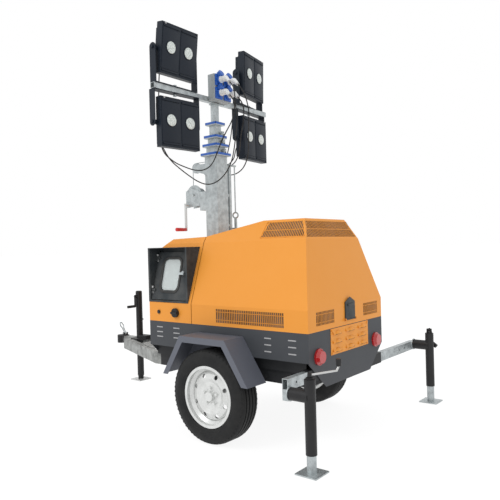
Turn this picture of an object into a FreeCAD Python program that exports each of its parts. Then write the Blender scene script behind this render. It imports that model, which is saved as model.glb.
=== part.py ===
import FreeCAD, Part
import math
import os

# Towable lighting tower with a diesel generating set.
# Frame: origin on the ground under the middle of the axle, +X to the rear,
# +Y to the trailer's right, +Z up. Millimetres throughout.

vec = FreeCAD.Vector

# ---- driving dimensions -------------------------------------------------
wheel_radius = 312.0
wheel_centre_y = 600.0
tyre_width = 176.0
bead_seat_radius = 190.0
rim_width = 150.0
hub_bore_clearance = 0.05
hand_hole_radius = 15.0
stub_axle_radius = 20.0

body_front = -743.0
body_rear = 686.0
body_half_width = 497.0
skirt_bottom = 571.0
waist_height = 754.0
fold_height = 894.0
shoulder_height = 1331.0
roof_height = 1471.0
shoulder_half_width = 348.0
roof_half_width = 261.0
shoulder_rear = 590.0
roof_rear = 527.0
roof_front = 193.0
seam_x = -300.0
seam_gap = 6.0
seam_roof_height = 1375.0
nose_edge_x = -640.0
nose_edge_height = 1366.0
nose_height = 1301.0
sheet = 3.0

rail_bottom = 400.0
rail_height = 90.0
rail_outer_y = 405.0
rail_width = 60.0
rail_wall = 5.0
tray_half_width = 430.0
tray_sheet = 4.0
axle_size = 80.0

coupler_tip_x = -1755.0
coupler_length = 175.0
drawbar_apex_x = -1570.0
drawbar_apex_y = 62.0
drawbar_bend_x = -800.0
drawbar_beam_width = 50.0
drawbar_wall = 5.0

arm_front_x = 634.0
arm_width = 40.0
arm_height = 66.0
arm_wall = 4.0
arm_length = 690.0
arm_play = 1.0
sleeve_wall = 4.0
arm_travel = 400.0
left_arm_bottom = 455.0
right_arm_bottom = 415.0
left_arm_end_y = 708.0
right_arm_end_y = 1120.0

jack_x = 812.0
jack_tube_radius = 33.0
jack_leg_radius = 28.0
jack_tube_wall = 4.0
jack_foot_size = 142.0
jack_foot_thickness = 8.0
jack_body_length = 428.0
jack_drum_radius = 38.0
jack_drum_below_top = 100.0
jack_retract = 90.0
jack_head_cover = 14.0
fold_pin_height = 24.0
fold_pin_radius = 4.0
swivel_pin_radius = 12.0
left_jack_top = 535.0
right_jack_top = 556.0
crank_reach = 193.0
crank_rest_turn = 22.0

front_jack_x = -1455.0
front_jack_top = 914.0
front_jack_bottom = 153.0
front_jack_foot_height = 116.0
front_jack_radius = 29.0
front_leg_radius = 24.0
front_foot_size = 130.0

mast_x = -471.0
section_sizes = (126.0, 106.0, 86.0, 66.0, 46.0)
section_wall = 3.0
section_tops = (2020.0, 2092.0, 2160.0, 2265.0, 2440.0)
section_bottoms = (512.0, 620.0, 640.0, 660.0, 680.0)
collar_sizes_x = (165.0, 145.0, 127.0, 110.0)
collar_sizes_y = (175.0, 150.0, 130.0, 110.0)
collar_thickness = 24.0
mast_play = 0.3
pivot_radius = 50.0
roof_ring_radius = 104.0

winch_x = -687.0
winch_z = 1727.0
drum_radius = 30.0
drum_gear_radius = 82.0
pinion_x = -745.0
pinion_z = 1647.0
winch_arm = 200.0
sheave_z = 1950.0
sheave_radius = 38.0
rope_radius = 3.0

crossbar_size = 40.0
crossbar_half_length = 655.0
lamp_y = 435.0
lamp_width = 360.0
lamp_height = 360.0
lamp_depth = 55.0
lamp_wall = 4.0
upper_tilt_z = 2735.0
lower_tilt_z = 2205.0
yoke_half_span = 205.0
yoke_thickness = 6.0
yoke_bar_width = 60.0
yoke_bolt_radius = 8.0
running_clearance = 0.05
flat_play = 0.3
lens_radius = 39.0
lamp_tilts = {"left_upper": 6.5, "left_lower": 0.0, "right_upper": 1.5, "right_lower": 0.0}
lamp_pans = {"left_upper": 0.0, "left_lower": -5.0, "right_upper": 11.0, "right_lower": 6.0}

box_back_x = -451.0
box_depth = 68.0
box_y = (-95.0, 100.0)
box_z = (2446.0, 2650.0)
socket_y = (-48.0, 52.0)
socket_z = (2500.0, 2603.0)
socket_length = 32.0
plug_radius = 22.0
plug_length = 70.0
plug_tail = 50.0

cable_diameter = 9.0
gland_reach = 5.0
gland_radius = 6.0
cable_end_gap = 0.4

pieces = {}


# ---- shape helpers ------------------------------------------------------
def block(x_range, y_range, z_range):
    low = vec(min(x_range), min(y_range), min(z_range))
    size = (abs(x_range[1] - x_range[0]), abs(y_range[1] - y_range[0]), abs(z_range[1] - z_range[0]))
    return Part.makeBox(size[0], size[1], size[2], low)


def rod(start, end, radius):
    a = vec(*start)
    b = vec(*end)
    return Part.makeCylinder(radius, (b - a).Length, a, b - a)


def pipe(start, end, outer, inner):
    return rod(start, end, outer).cut(rod(start, end, inner))


def cone(start, end, radius_start, radius_end):
    a = vec(*start)
    b = vec(*end)
    return Part.makeCone(radius_start, radius_end, (b - a).Length, a, b - a)


def prism(points, direction):
    wire = Part.makePolygon([vec(*p) for p in points] + [vec(*points[0])])
    return Part.Face(wire).extrude(vec(*direction))


def prism_x(points_yz, x_from, x_to):
    return prism([(x_from, y, z) for y, z in points_yz], (x_to - x_from, 0, 0))


def prism_y(points_xz, y_from, y_to):
    return prism([(x, y_from, z) for x, z in points_xz], (0, y_to - y_from, 0))


def prism_z(points_xy, z_from, z_to):
    return prism([(x, y, z_from) for x, y in points_xy], (0, 0, z_to - z_from))


def turned_about_y(profile, centre_x, centre_z):
    """Revolve (radius, y) points about a line along Y."""
    face = Part.Face(Part.makePolygon([vec(centre_x, y, centre_z + r) for r, y in profile + profile[:1]]))
    return face.revolve(vec(centre_x, 0, centre_z), vec(0, 1, 0), 360)


def union(shapes):
    whole = shapes[0]
    if len(shapes) > 1:
        whole = shapes[0].fuse(shapes[1:])
    return whole.removeSplitter()


def mirrored(shape):
    return shape.mirror(vec(0, 0, 0), vec(0, 1, 0))


def on_side(shape, side):
    """A shape drawn for the right (+Y) goes to the left when side is -1."""
    return shape if side > 0 else mirrored(shape)


def group(shapes):
    solids = []
    for shape in shapes:
        solids += shape.Solids
    return Part.makeCompound(solids)


def square_tube(centre_x, centre_y, size, wall, z_range):
    half = size / 2
    inner = half - wall
    outside = block((centre_x - half, centre_x + half), (centre_y - half, centre_y + half), z_range)
    inside = block((centre_x - inner, centre_x + inner), (centre_y - inner, centre_y + inner), z_range)
    return outside.cut(inside)


def hollow_beam(corners, z_low, z_high, wall, bore):
    """A beam with the plan outline 'corners', hollow along 'bore', its inner outline."""
    return prism_z(corners, z_low, z_high).cut(prism_z(bore, z_low + wall, z_high - wall))


# ---- running gear -------------------------------------------------------
def wheel_disc():
    """Pressed steel wheel drawn on the right side: rim, dished disc, hub and wheel nuts."""
    inner = wheel_centre_y - rim_width / 2
    outer = wheel_centre_y + rim_width / 2
    seat = bead_seat_radius
    mid = wheel_centre_y
    rim = turned_about_y([(seat + 14, inner), (seat + 14, inner + 6), (seat, inner + 6), (seat, mid - 45),
                          (seat - 20, mid - 36), (seat - 20, mid + 26), (seat, mid + 46), (seat, outer - 6),
                          (seat + 14, outer - 6), (seat + 14, outer), (seat - 5, outer), (seat - 5, mid + 48),
                          (seat - 25, mid + 28), (seat - 25, mid - 39), (seat - 5, mid - 48), (seat - 5, inner)],
                         0, wheel_radius)
    face = outer - 30
    disc = turned_about_y([(seat - 24, face - 22), (seat - 40, face - 6), (118, face + 4), (92, face - 8),
                           (48, face - 10), (48, face - 16), (90, face - 14), (118, face - 3),
                           (seat - 42, face - 13), (seat - 24, face - 29)], 0, wheel_radius)
    for k in range(8):
        angle = math.radians(45 * k + 22.5)
        at = (137 * math.cos(angle), wheel_radius + 137 * math.sin(angle))
        disc = disc.cut(rod((at[0], face - 40, at[1]), (at[0], face + 20, at[1]), hand_hole_radius))
    bore = stub_axle_radius + hub_bore_clearance
    hub = rod((0, wheel_centre_y - 60, wheel_radius), (0, face - 12, wheel_radius), 62)
    cap = rod((0, face - 16, wheel_radius), (0, face + 16, wheel_radius), 31)
    hub = union([hub, cap]).cut(rod((0, wheel_centre_y - 60, wheel_radius), (0, face - 6, wheel_radius), bore))
    nuts = []
    for k in range(5):
        angle = math.radians(72 * k + 90)
        at = (56 * math.cos(angle), wheel_radius + 56 * math.sin(angle))
        nuts.append(rod((at[0], face - 16, at[1]), (at[0], face + 6, at[1]), 9))
    return union([rim, disc, hub] + nuts)


def tyre():
    """Tubeless tyre seated on the rim's bead seats, drawn on the right side."""
    seat = bead_seat_radius
    half = tyre_width / 2
    crown = wheel_radius
    flange = rim_width / 2 - 6
    inside = [(crown - 12, 0), (crown - 15, half - 38), (crown - 34, half - 15), (seat + 44, half - 15),
              (seat + 12, flange - 18), (seat, flange - 22)]
    outside = [(seat, flange), (seat + 15, flange), (seat + 21, half - 9), (seat + 46, half - 1),
               (crown - 58, half), (crown - 20, half - 6), (crown - 6, half - 18), (crown, half - 34)]
    mid = wheel_centre_y
    right = [(r, mid + y) for r, y in inside + outside]
    left = [(r, mid - y) for r, y in (inside[1:] + outside)[::-1]]
    return turned_about_y(right + left, 0, wheel_radius)


def axle():
    """Trailing-arm axle: a cross beam under the rails, arms back to the stub axles."""
    beam_x = -150.0
    beam_top = rail_bottom
    shapes = [block((beam_x - axle_size / 2, beam_x + axle_size / 2), (-470, 470), (beam_top - axle_size, beam_top))]
    for side in (-1, 1):
        arm = prism_y([(beam_x - 30, beam_top - 70), (beam_x - 30, beam_top - 10), (0, wheel_radius + 30),
                       (34, wheel_radius + 10), (34, wheel_radius - 30), (-40, wheel_radius - 32)], 470, 492)
        stub_end = wheel_centre_y + rim_width / 2 - 38
        stub = rod((0, 492, wheel_radius), (0, stub_end, wheel_radius), stub_axle_radius)
        shapes.append(on_side(union([arm, stub]), side))
    return shapes


def mudguard(side):
    """Folded wheel arch: trapezium in side view, outer flange and back plate."""
    outline = [(-400, 425), (-232, 700), (172, 700), (357, 418)]
    inner = [(-354, 425), (-207, 658), (147, 658), (307, 418)]
    strip_inner = [(-396.5, 425), (-230.3, 697), (170.4, 697), (353.4, 418)]
    lip = 690.0
    strip = prism_y(outline + strip_inner[::-1], body_half_width, lip)
    flange = prism_y(outline + inner[::-1], lip - sheet, lip)
    back = prism_y(outline, body_half_width, body_half_width + sheet)
    return on_side(union([strip, flange, back]), side)


# ---- chassis ------------------------------------------------------------
def rail(side):
    outer = rail_outer_y
    inner = rail_outer_y - rail_width
    top = rail_bottom + rail_height
    length = (body_front + 10, arm_front_x - arm_play - sleeve_wall)
    solid = block(length, (inner, outer), (rail_bottom, top))
    bore = block(length, (inner + rail_wall, outer - rail_wall), (rail_bottom + rail_wall, top - rail_wall))
    return on_side(solid.cut(bore), side)


def sleeve(side, arm_bottom):
    """Guide tube of one outrigger arm, welded across the rear of the chassis."""
    gap = arm_play
    inner = block((arm_front_x - gap, arm_front_x + arm_width + gap), (-10, 520),
                  (arm_bottom - gap, arm_bottom + arm_height + gap))
    wall = gap + sleeve_wall
    outer = block((arm_front_x - wall, arm_front_x + arm_width + wall), (5, body_half_width - 4),
                  (arm_bottom - wall, arm_bottom + arm_height + wall))
    return on_side(outer.cut(inner), side)


def chassis_frame():
    top = rail_bottom + rail_height
    shapes = [rail(1), rail(-1)]
    inner = rail_outer_y - rail_width
    for low, high in ((body_front + 10, body_front + 70), (mast_x - 80, mast_x + 80), (40, 100), (560, 620)):
        cross = block((low, high), (-inner, inner), (rail_bottom, top))
        shapes.append(cross.cut(block((low + 5, high - 5), (-inner, inner), (rail_bottom + 5, top - 5))))
    # floor tray with upturned sides
    plate = block((body_front + 6, arm_front_x - 12), (-tray_half_width, tray_half_width), (top, top + tray_sheet))
    shapes.append(plate)
    for side in (-1, 1):
        wall = block((body_front + 6, arm_front_x - 12), (tray_half_width - tray_sheet, tray_half_width),
                     (top, skirt_bottom))
        lip = block((body_front + 6, arm_front_x - 12), (tray_half_width - tray_sheet, body_half_width - sheet),
                    (skirt_bottom - sheet, skirt_bottom))
        shapes += [on_side(wall, side), on_side(lip, side)]
    shapes.append(sleeve(-1, left_arm_bottom))
    shapes.append(sleeve(1, right_arm_bottom))
    # brackets from the last cross member to the sleeves and the rear panel
    for y in (-200.0, 200.0):
        shapes.append(block((620, arm_front_x - arm_play - sleeve_wall), (y - 15, y + 15), (440, 480)))
        shapes.append(block((arm_front_x + arm_width + arm_play + sleeve_wall, body_rear - sheet),
                            (y - 15, y + 15), (460, 480)))
    # mast pedestal: thrust ring and spigot
    shapes.append(rod((mast_x, 0, top), (mast_x, 0, section_bottoms[0] - mast_play), 88))
    shapes.append(rod((mast_x, 0, top), (mast_x, 0, section_bottoms[0] + 78), pivot_radius))
    shapes += axle()
    return union(shapes)


def drawbar():
    """A-frame of two box beams from the chassis rails to the coupler, with gusset plates and head tube."""
    low = rail_bottom
    high = rail_bottom + rail_height
    y_end = rail_outer_y - rail_width / 2
    half = drawbar_beam_width / 2
    run = drawbar_bend_x - drawbar_apex_x
    rise = y_end - drawbar_apex_y
    length = math.hypot(run, rise)
    nx = -rise / length
    ny = run / length

    def outline(offset, front, rear):
        apex = (front, drawbar_apex_y + rise * (front - drawbar_apex_x) / run)
        bend_out = (drawbar_bend_x + offset * nx * 0.5, y_end + offset)
        bend_in = (drawbar_bend_x - offset * nx * 0.5, y_end - offset)
        return [(apex[0] + offset * nx, apex[1] + offset * ny), bend_out, (rear, y_end + offset),
                (rear, y_end - offset), bend_in, (apex[0] - offset * nx, apex[1] - offset * ny)]

    shapes = []
    rear = body_front + 10
    for side in (-1, 1):
        beam = hollow_beam(outline(half, drawbar_apex_x, rear), low, high, drawbar_wall,
                           outline(half - drawbar_wall, drawbar_apex_x - 30, rear + 30))
        shapes.append(on_side(beam, side))
    # top and bottom gusset plates between the beams
    for z in (low - 6, high):
        plate = prism_z([(-1200, -195), (-1200, 195), (-980, 295), (-900, 295), (-900, -295), (-980, -295)], z, z + 6)
        plate = plate.cut(block((-1130, -940), (-120, 120), (z - 1, z + 7)))
        for y in (-170, 170):
            plate = plate.cut(rod((-1150, y, z - 1), (-1150, y, z + 7), 11))
        shapes.append(plate)
    # head: box tube that carries the coupler, closed against the beams
    head = block((-1640, -1500), (-32, 32), (low + 22, high + 8)).cut(block((-1641, -1505), (-27, 27), (low + 27, high + 3)))
    shapes.append(head)
    shapes.append(block((-1560, -1500), (-60, -32), (low + 22, high)).fuse(block((-1560, -1500), (32, 60), (low + 22, high))))
    return union(shapes)


def coupler_housing():
    """Ball coupler: cast nose with a ball cup below, on a shank bolted in the drawbar head."""
    z = 466.0
    nose_x = coupler_tip_x + 48
    body = rod((nose_x, 0, z - 34), (nose_x, 0, z + 36), 44)
    neck = prism_y([(nose_x, z - 30), (nose_x, z + 34), (-1640, z + 40), (-1600, z + 20), (-1600, z - 26)], -30, 30)
    tip = prism_y([(coupler_tip_x, z - 36), (coupler_tip_x + 30, z - 20), (coupler_tip_x + 30, z - 36)], -14, 14)
    neck = neck.cut(block((-1640, -1590), (-40, 40), (400, 560)))
    shank = block((-1640, -1560), (-26.5, 26.5), (rail_bottom + 27.5, rail_bottom + rail_height + 2.5))
    body = union([body, neck, tip, shank])
    body = body.cut(rod((nose_x, 0, z - 60), (nose_x, 0, z - 4), 25.5))
    body = body.cut(cone((nose_x, 0, z - 4), (nose_x, 0, z + 8), 25.5, 15))
    ears = [block((-1672, -1648), (y - 4, y + 4), (z + 30, z + 62)) for y in (-18, 18)]
    body = union([body] + ears)
    return body.cut(rod((-1660, -40, z + 52), (-1660, 40, z + 52), 4 + running_clearance))


def coupler_handle():
    """Locking handle: a bent round-bar loop hinged between the ears of the coupler."""
    z = 518.0
    pin = rod((-1660, -26, z), (-1660, 26, z), 4)
    boss = rod((-1660, -13, z), (-1660, 13, z), 11)
    loop = [(-1660, -8, z), (-1692, -8, z + 48), (-1706, -18, z + 68), (-1724, -9, z + 96), (-1724, 9, z + 96),
            (-1706, 18, z + 68), (-1692, 8, z + 48), (-1660, 8, z)]
    bars = [rod(loop[k], loop[k + 1], 5) for k in range(7)]
    return union([pin, boss] + bars)


# ---- lower body and canopy ----------------------------------------------
def lower_body():
    shapes = []
    for side in (-1, 1):
        wall = block((body_front, body_rear), (body_half_width - sheet, body_half_width), (skirt_bottom, waist_height))
        flange = block((body_front, body_rear), (body_half_width - 28, body_half_width), (waist_height - sheet, waist_height))
        shapes += [on_side(wall, side), on_side(flange, side)]
    w = body_half_width
    front = [(-w, waist_height), (-w, 580), (-412, 494), (412, 494), (w, 580), (w, waist_height)]
    rear = [(-w, waist_height), (-w, 565), (-300, 395), (300, 395), (w, 565), (w, waist_height)]
    shapes.append(prism_x(front, body_front, body_front + sheet))
    back = prism_x(rear, body_rear - sheet, body_rear)
    back = back.cut(block((body_rear - 9, body_rear + 9), (-200, 236), (600, 735)))
    shapes.append(back)
    for x in ((body_front, body_front + 28), (body_rear - 28, body_rear)):
        shapes.append(block(x, (-w, w), (waist_height - sheet, waist_height)))
    return union(shapes)


def rear_panel():
    """Bolted access panel with pressed louvres over the rear opening."""
    plate = block((body_rear, body_rear + sheet), (-237, 273), (582, 750))
    for row in range(3):
        for column in range(3):
            y = -237 + 510 * (column + 0.5) / 3
            z = 582 + 168 * (row + 0.5) / 3
            louvre = prism_y([(body_rear + sheet, z + 14), (body_rear + sheet, z - 10), (body_rear + 13, z - 10)],
                             y - 62, y + 62)
            plate = plate.fuse(louvre)
    for y in (-222, 258):
        for z in (594, 738):
            plate = plate.fuse(rod((body_rear + sheet, y, z), (body_rear + 8, y, z), 7))
    return plate.removeSplitter()


def tail_lights():
    lights = []
    for y in (-385.0, 385.0):
        base = rod((body_rear, y, 598), (body_rear + 12, y, 598), 52)
        lens = cone((body_rear + 12, y, 598), (body_rear + 32, y, 598), 48, 38)
        lights.append(union([base, lens]))
    return group(lights)


def side_section(inset):
    """Canopy cross-section seen from the rear, pulled in by 'inset'."""
    w = body_half_width - inset
    s = shoulder_half_width - inset
    r = roof_half_width - inset * 0.8
    top = roof_height - inset
    low = waist_height if inset == 0 else waist_height - 20
    return [(-w, low), (-w, fold_height), (-s, shoulder_height), (-r, top), (r, top), (s, shoulder_height),
            (w, fold_height), (w, low)]


def hood_profile(inset):
    """Canopy profile seen from the left, behind the seam."""
    low = waist_height if inset == 0 else waist_height - 20
    front = seam_x + seam_gap / 2 - (30 if inset else 0)
    slope = (roof_height - seam_roof_height) / (roof_front - seam_x)
    front_z = seam_roof_height + slope * (front - seam_x) - inset
    return [(front, low), (body_rear - inset, low), (body_rear - inset, fold_height),
            (shoulder_rear - inset, shoulder_height), (roof_rear - inset, roof_height - inset),
            (roof_front, roof_height - inset), (front, front_z)]


def front_profile(inset):
    low = waist_height if inset == 0 else waist_height - 20
    rear = seam_x - seam_gap / 2 + (30 if inset else 0)
    return [(body_front + inset, low), (rear, low), (rear, seam_roof_height - inset),
            (nose_edge_x, nose_edge_height - inset), (body_front + inset, nose_height - inset * 0.7)]


def canopy_solid(profile, inset):
    long_side = prism_y(profile(inset), -700, 700)
    return long_side.common(prism_x(side_section(inset), body_front - 200, body_rear + 200))


def canopy_front():
    """Fixed front half of the canopy with its bulkhead, roof ring and the opening behind the control door."""
    shell = canopy_solid(front_profile, 0).cut(canopy_solid(front_profile, sheet))
    door_way = block((door_front_x - 5, door_rear_x + 5), (-body_half_width - 10, -300), (door_bottom - 5, door_top + 5))
    shell = shell.cut(door_way)
    tray_top = rail_bottom + rail_height + tray_sheet
    inside = canopy_solid(front_profile, sheet).common(block((-312, -306), (-600, 600), (waist_height, 1500)))
    lower = block((-312, -306), (-tray_half_width + 6, tray_half_width - 6), (tray_top, waist_height))
    shell = union([shell, inside, lower])
    hole = rod((mast_x, 0, 1300), (mast_x, 0, 1500), roof_ring_radius)
    shell = shell.cut(hole)
    ring_z = nose_edge_height + (seam_roof_height - nose_edge_height) * (mast_x - nose_edge_x) / (seam_x - nose_edge_x)
    ring = pipe((mast_x, 0, ring_z - 8), (mast_x, 0, ring_z + 10), roof_ring_radius + 14, roof_ring_radius)
    filler = rod((fuel_cap_x, -body_half_width - 5, fuel_cap_z), (fuel_cap_x, -300, fuel_cap_z), filler_radius + 1)
    lock = rod((-637, -body_half_width - 7, 824), (-637, -body_half_width, 824), 13)
    hinges = [hinge_knuckle(y + offset, 1) for y in (-200, 200) for offset in (-30, 15)]
    return union([shell, ring, lock] + hinges).cut(filler)


def hinge_knuckle(y, front):
    """Half of a hood hinge: a barrel above the seam with its leaf on the roof, 15 long in Y."""
    barrel = rod((seam_x, y, hood_axis_z), (seam_x, y + 15, hood_axis_z), 8)
    reach = -44 if front else 44
    leaf = block((seam_x, seam_x + reach), (y, y + 15), (seam_roof_height - 4, hood_axis_z - 3))
    if front:
        pin = rod((seam_x, y, hood_axis_z), (seam_x, y + 15, hood_axis_z), 4)
        return union([barrel, leaf, pin])
    return union([barrel, leaf])


def grille_windows():
    """Openings of the hood grilles: side bands, rear bands, hump sides and hump rear."""
    windows = []
    for side in (-1, 1):
        windows.append(on_side(block((-65, 507), (400, 600), (776, 873)), side))
        windows.append(on_side(prism_y([(212, 1345), (575, 1345), (520, 1455), (230, 1455)], 200, 400), side))
    behind = (body_rear - 86, body_rear + 34)
    windows.append(block(behind, (-403, -182), (787, 876)))
    windows.append(block(behind, (216, 431), (787, 876)))
    windows.append(prism_x([(-325, 1345), (325, 1345), (255, 1455), (-255, 1455)], 500, 620))
    return windows


def canopy_hood():
    """Rear hood that tips up for service: folded shell with grille openings and hinge knuckles."""
    shell = canopy_solid(hood_profile, 0).cut(canopy_solid(hood_profile, sheet))
    for window in grille_windows():
        shell = shell.cut(window)
    knuckles = []
    for y in (-200, 200):
        knuckle = hinge_knuckle(y - 14.5, 0)
        pin_hole = rod((seam_x, y - 20, hood_axis_z), (seam_x, y + 20, hood_axis_z), 4 + running_clearance)
        knuckles.append(knuckle.cut(pin_hole))
    ears = []
    for y in (latch_y - 72, latch_y + 67):
        ear = block((body_rear - 14, body_rear + 16), (y, y + 5), (latch_axis_z - 8, latch_axis_z + 8))
        ears.append(ear.cut(rod((latch_axis_x, y - 1, latch_axis_z), (latch_axis_x, y + 6, latch_axis_z),
                                4 + running_clearance)))
    return union([shell] + knuckles + ears)


def hood_grilles():
    """Perforated inserts behind the hood's grille openings, 1.5 thick, seated on the inside of the skin."""
    margin = 8.0
    plate = 1.5
    shapes = []
    inner = canopy_solid(hood_profile, sheet)
    skin = inner.cut(canopy_solid(hood_profile, sheet + plate))
    for side in (-1, 1):
        shapes.append(skin.common(on_side(block((-65 - margin, 507 + margin), (400, 600), (768, 881)), side)))
        shapes.append(skin.common(on_side(prism_y([(204, 1337), (583, 1337), (526, 1463), (224, 1463)], 268, 400), side)))
    behind = (body_rear - 26, body_rear + 34)
    shapes.append(skin.common(block(behind, (-411, -174), (779, 884))))
    shapes.append(skin.common(block(behind, (208, 439), (779, 884))))
    shapes.append(skin.common(prism_x([(-262, 1337), (262, 1337), (262, 1462), (-262, 1462)], 524, 620)))
    return shapes


def hood_latch():
    """Paddle latch at the rear of the hood: a gabled plate on two trunnions at its foot."""
    low = latch_axis_z - 4
    outline = [(latch_y - 65, low), (latch_y + 65, low), (latch_y + 65, 905), (latch_y, 938), (latch_y - 65, 905)]
    plate = prism_x(outline, body_rear + 2, body_rear + 8)
    rib = block((body_rear + 8, body_rear + 16), (latch_y - 40, latch_y + 40), (880, 892))
    pin = rod((latch_axis_x, latch_y - 71.5, latch_axis_z), (latch_axis_x, latch_y + 71.5, latch_axis_z), 4)
    return union([plate, rib, pin])


# ---- control door -------------------------------------------------------
door_slope = 0.25
door_bottom = 915.0
door_top = 1268.0
door_swing_room = 31.0
door_face_y = -493.0
door_front_x = -722.0
door_rear_x = -350.0
door_thickness = 20.0
window_x = (-655.0, -445.0)
window_z = (968.0, 1231.0)
window_corner = 55.0


def door_y(z):
    """Outer face of the tilted door at height z."""
    return door_face_y + door_slope * (z - door_bottom)


def door_slab(x_range, z_range, front, back):
    """Slab parallel to the door, 'front' and 'back' measured inwards from its outer face."""
    z0, z1 = z_range
    profile = [(door_y(z0) + front, z0), (door_y(z1) + front, z1), (door_y(z1) + back, z1), (door_y(z0) + back, z0)]
    return prism_x(profile, x_range[0], x_range[1])


def rounded_window(inset, low_y, high_y):
    """Straight-through rounded rectangle along Y for the door window."""
    x0 = window_x[0] + inset
    x1 = window_x[1] - inset
    z0 = window_z[0] + inset
    z1 = window_z[1] - inset
    r = window_corner - inset
    tall = block((x0 + r, x1 - r), (low_y, high_y), (z0, z1))
    wide = block((x0, x1), (low_y, high_y), (z0 + r, z1 - r))
    corners = [rod((x, low_y, z), (x, high_y, z), r) for x in (x0 + r, x1 - r) for z in (z0 + r, z1 - r)]
    return union([tall, wide] + corners)


def door_surround():
    """Hooded frame around the control door, standing proud of the sloping canopy side."""
    outer = block((body_front - 1, seam_x - 30), (-body_half_width - 3, -320), (fold_height + 3, nose_height + 2))
    recess_z = (door_bottom - 4, door_top + door_swing_room)
    frame = outer.cut(block((door_front_x - 4, door_rear_x + 4), (-600, -300), recess_z))
    frame = frame.cut(canopy_solid(front_profile, 0))
    frame = frame.cut(block((body_front - 50, body_front), (-360, -300), (fold_height, nose_height + 10)))
    stop = door_slab((door_front_x - 4, door_rear_x + 4), recess_z, door_thickness + 1, door_thickness + 8)
    stop = stop.cut(block((door_front_x + 12, door_rear_x - 12), (-600, -300), (door_bottom + 12, door_top - 12)))
    stop = stop.cut(canopy_solid(front_profile, 0))
    knuckles = []
    for z in door_hinge_heights:
        knuckles += [door_knuckle(z - 28, 4), door_knuckle(z + 12, 4)]
    pins = [rod(hinge_point(z - 28), hinge_point(z + 28), 3) for z in door_hinge_heights]
    return union([frame, stop] + knuckles + pins)


door_hinge_heights = (987.0, 1226.0)
hinge_x = -716.0
hinge_offset = 8.0


def hinge_point(z):
    """Point of the door's hinge line at height z."""
    return (hinge_x, door_y(z) - hinge_offset, z)


def door_knuckle(z, wall_side):
    """Barrel 16 long from height z, with a web to the surround (wall_side) or to the door."""
    barrel = rod(hinge_point(z), hinge_point(z + 16), 6)
    if wall_side:
        web = door_slab((door_front_x - 4.5, hinge_x), (z, z + 16), -hinge_offset - 3, -hinge_offset + 3)
    else:
        web = door_slab((hinge_x, hinge_x + 26), (z, z + 16), -hinge_offset - 3, 0)
    return union([barrel, web])


def control_door():
    slab = door_slab((door_front_x, door_rear_x), (door_bottom, door_top), 0, door_thickness)
    slab = slab.cut(rounded_window(14, -600, -300))
    shapes = [slab]
    for z in door_hinge_heights:
        knuckle = door_knuckle(z - 8, 0)
        shapes.append(knuckle.cut(rod(hinge_point(z - 30), hinge_point(z + 30), 3 + running_clearance)))
    door = union(shapes)
    bore = rod(door_point(latch_centre_x, latch_centre_z, -30), door_point(latch_centre_x, latch_centre_z, 60),
               8 + running_clearance)
    return door.cut(bore)


latch_centre_x = -418.0
latch_centre_z = 1110.0


def door_point(x, z, depth):
    """Point 'depth' inside the door's outer face, measured square to it."""
    length = math.hypot(1, door_slope)
    return (x, door_y(z) + depth / length, z - depth * door_slope / length)


def door_window():
    """Clear pane seated in the door's rounded cut-out."""
    pane = rounded_window(14.3, -600, -300)
    return pane.common(door_slab((-700, -400), (door_bottom, door_top), 5, 11))


def door_latch():
    """T-handle latch turning in the door, with a cam behind."""
    start = door_point(latch_centre_x, latch_centre_z, -16)
    end = door_point(latch_centre_x, latch_centre_z, door_thickness + 10)
    spindle = rod(start, end, 8)
    rose = rod(start, door_point(latch_centre_x, latch_centre_z, -0.3), 15)
    handle = door_slab((latch_centre_x - 30, latch_centre_x + 20), (latch_centre_z - 8, latch_centre_z + 8), -26, -14)
    cam = door_slab((latch_centre_x - 8, latch_centre_x + 8), (latch_centre_z - 8, latch_centre_z + 34),
                    door_thickness + 1, door_thickness + 5)
    return union([spindle, rose, handle, cam])


def control_panel():
    """Electrical cabinet behind the door, fixed to the bulkhead, with meter and switch faces."""
    shell = block((-700, -312), (-352, -180), (886, 1270)).cut(block((-696, -316), (-348, -184), (890, 1266)))
    plates = [block((-690, -560), (-356, -352), (1130, 1240)), block((-540, -400), (-356, -352), (1150, 1240))]
    for k in range(4):
        x = -660 + 60 * k
        plates.append(block((x, x + 36), (-360, -352), (1040, 1096)))
    shell = union([shell] + plates)
    return shell.cut(rod((stop_x, -370, stop_z), (stop_x, -340, stop_z), 8 + running_clearance))


stop_x = -418.0
stop_z = 1066.0
stop_travel = 6.0


def emergency_stop():
    head = rod((stop_x, -382, stop_z), (stop_x, -352 - stop_travel - 1, stop_z), 20)
    stem = rod((stop_x, -352 - stop_travel - 1, stop_z), (stop_x, -336, stop_z), 8)
    return union([head, stem])


# ---- fuel, engine and electrics -----------------------------------------
fuel_cap_x = -456.0
fuel_cap_z = 825.0
filler_radius = 24.0
hood_axis_z = seam_roof_height + 11
latch_y = 18.0
latch_axis_x = body_rear + 8
latch_axis_z = 789.0


def fuel_tank():
    low = rail_bottom + rail_height + tray_sheet
    tank = block((-640, -330), (3 + tray_sheet - tray_half_width, -130), (low, 870))
    neck = rod((fuel_cap_x, -body_half_width - 3, fuel_cap_z), (fuel_cap_x, 12 - tray_half_width, fuel_cap_z), filler_radius)
    bore = rod((fuel_cap_x, -body_half_width - 4, fuel_cap_z), (fuel_cap_x, 12 - tray_half_width, fuel_cap_z), filler_radius - 4)
    hollow = block((-635, -335), (8 + tray_sheet - tray_half_width, -135), (low + 5, 865))
    return union([tank, neck]).cut(hollow).cut(bore)


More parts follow.
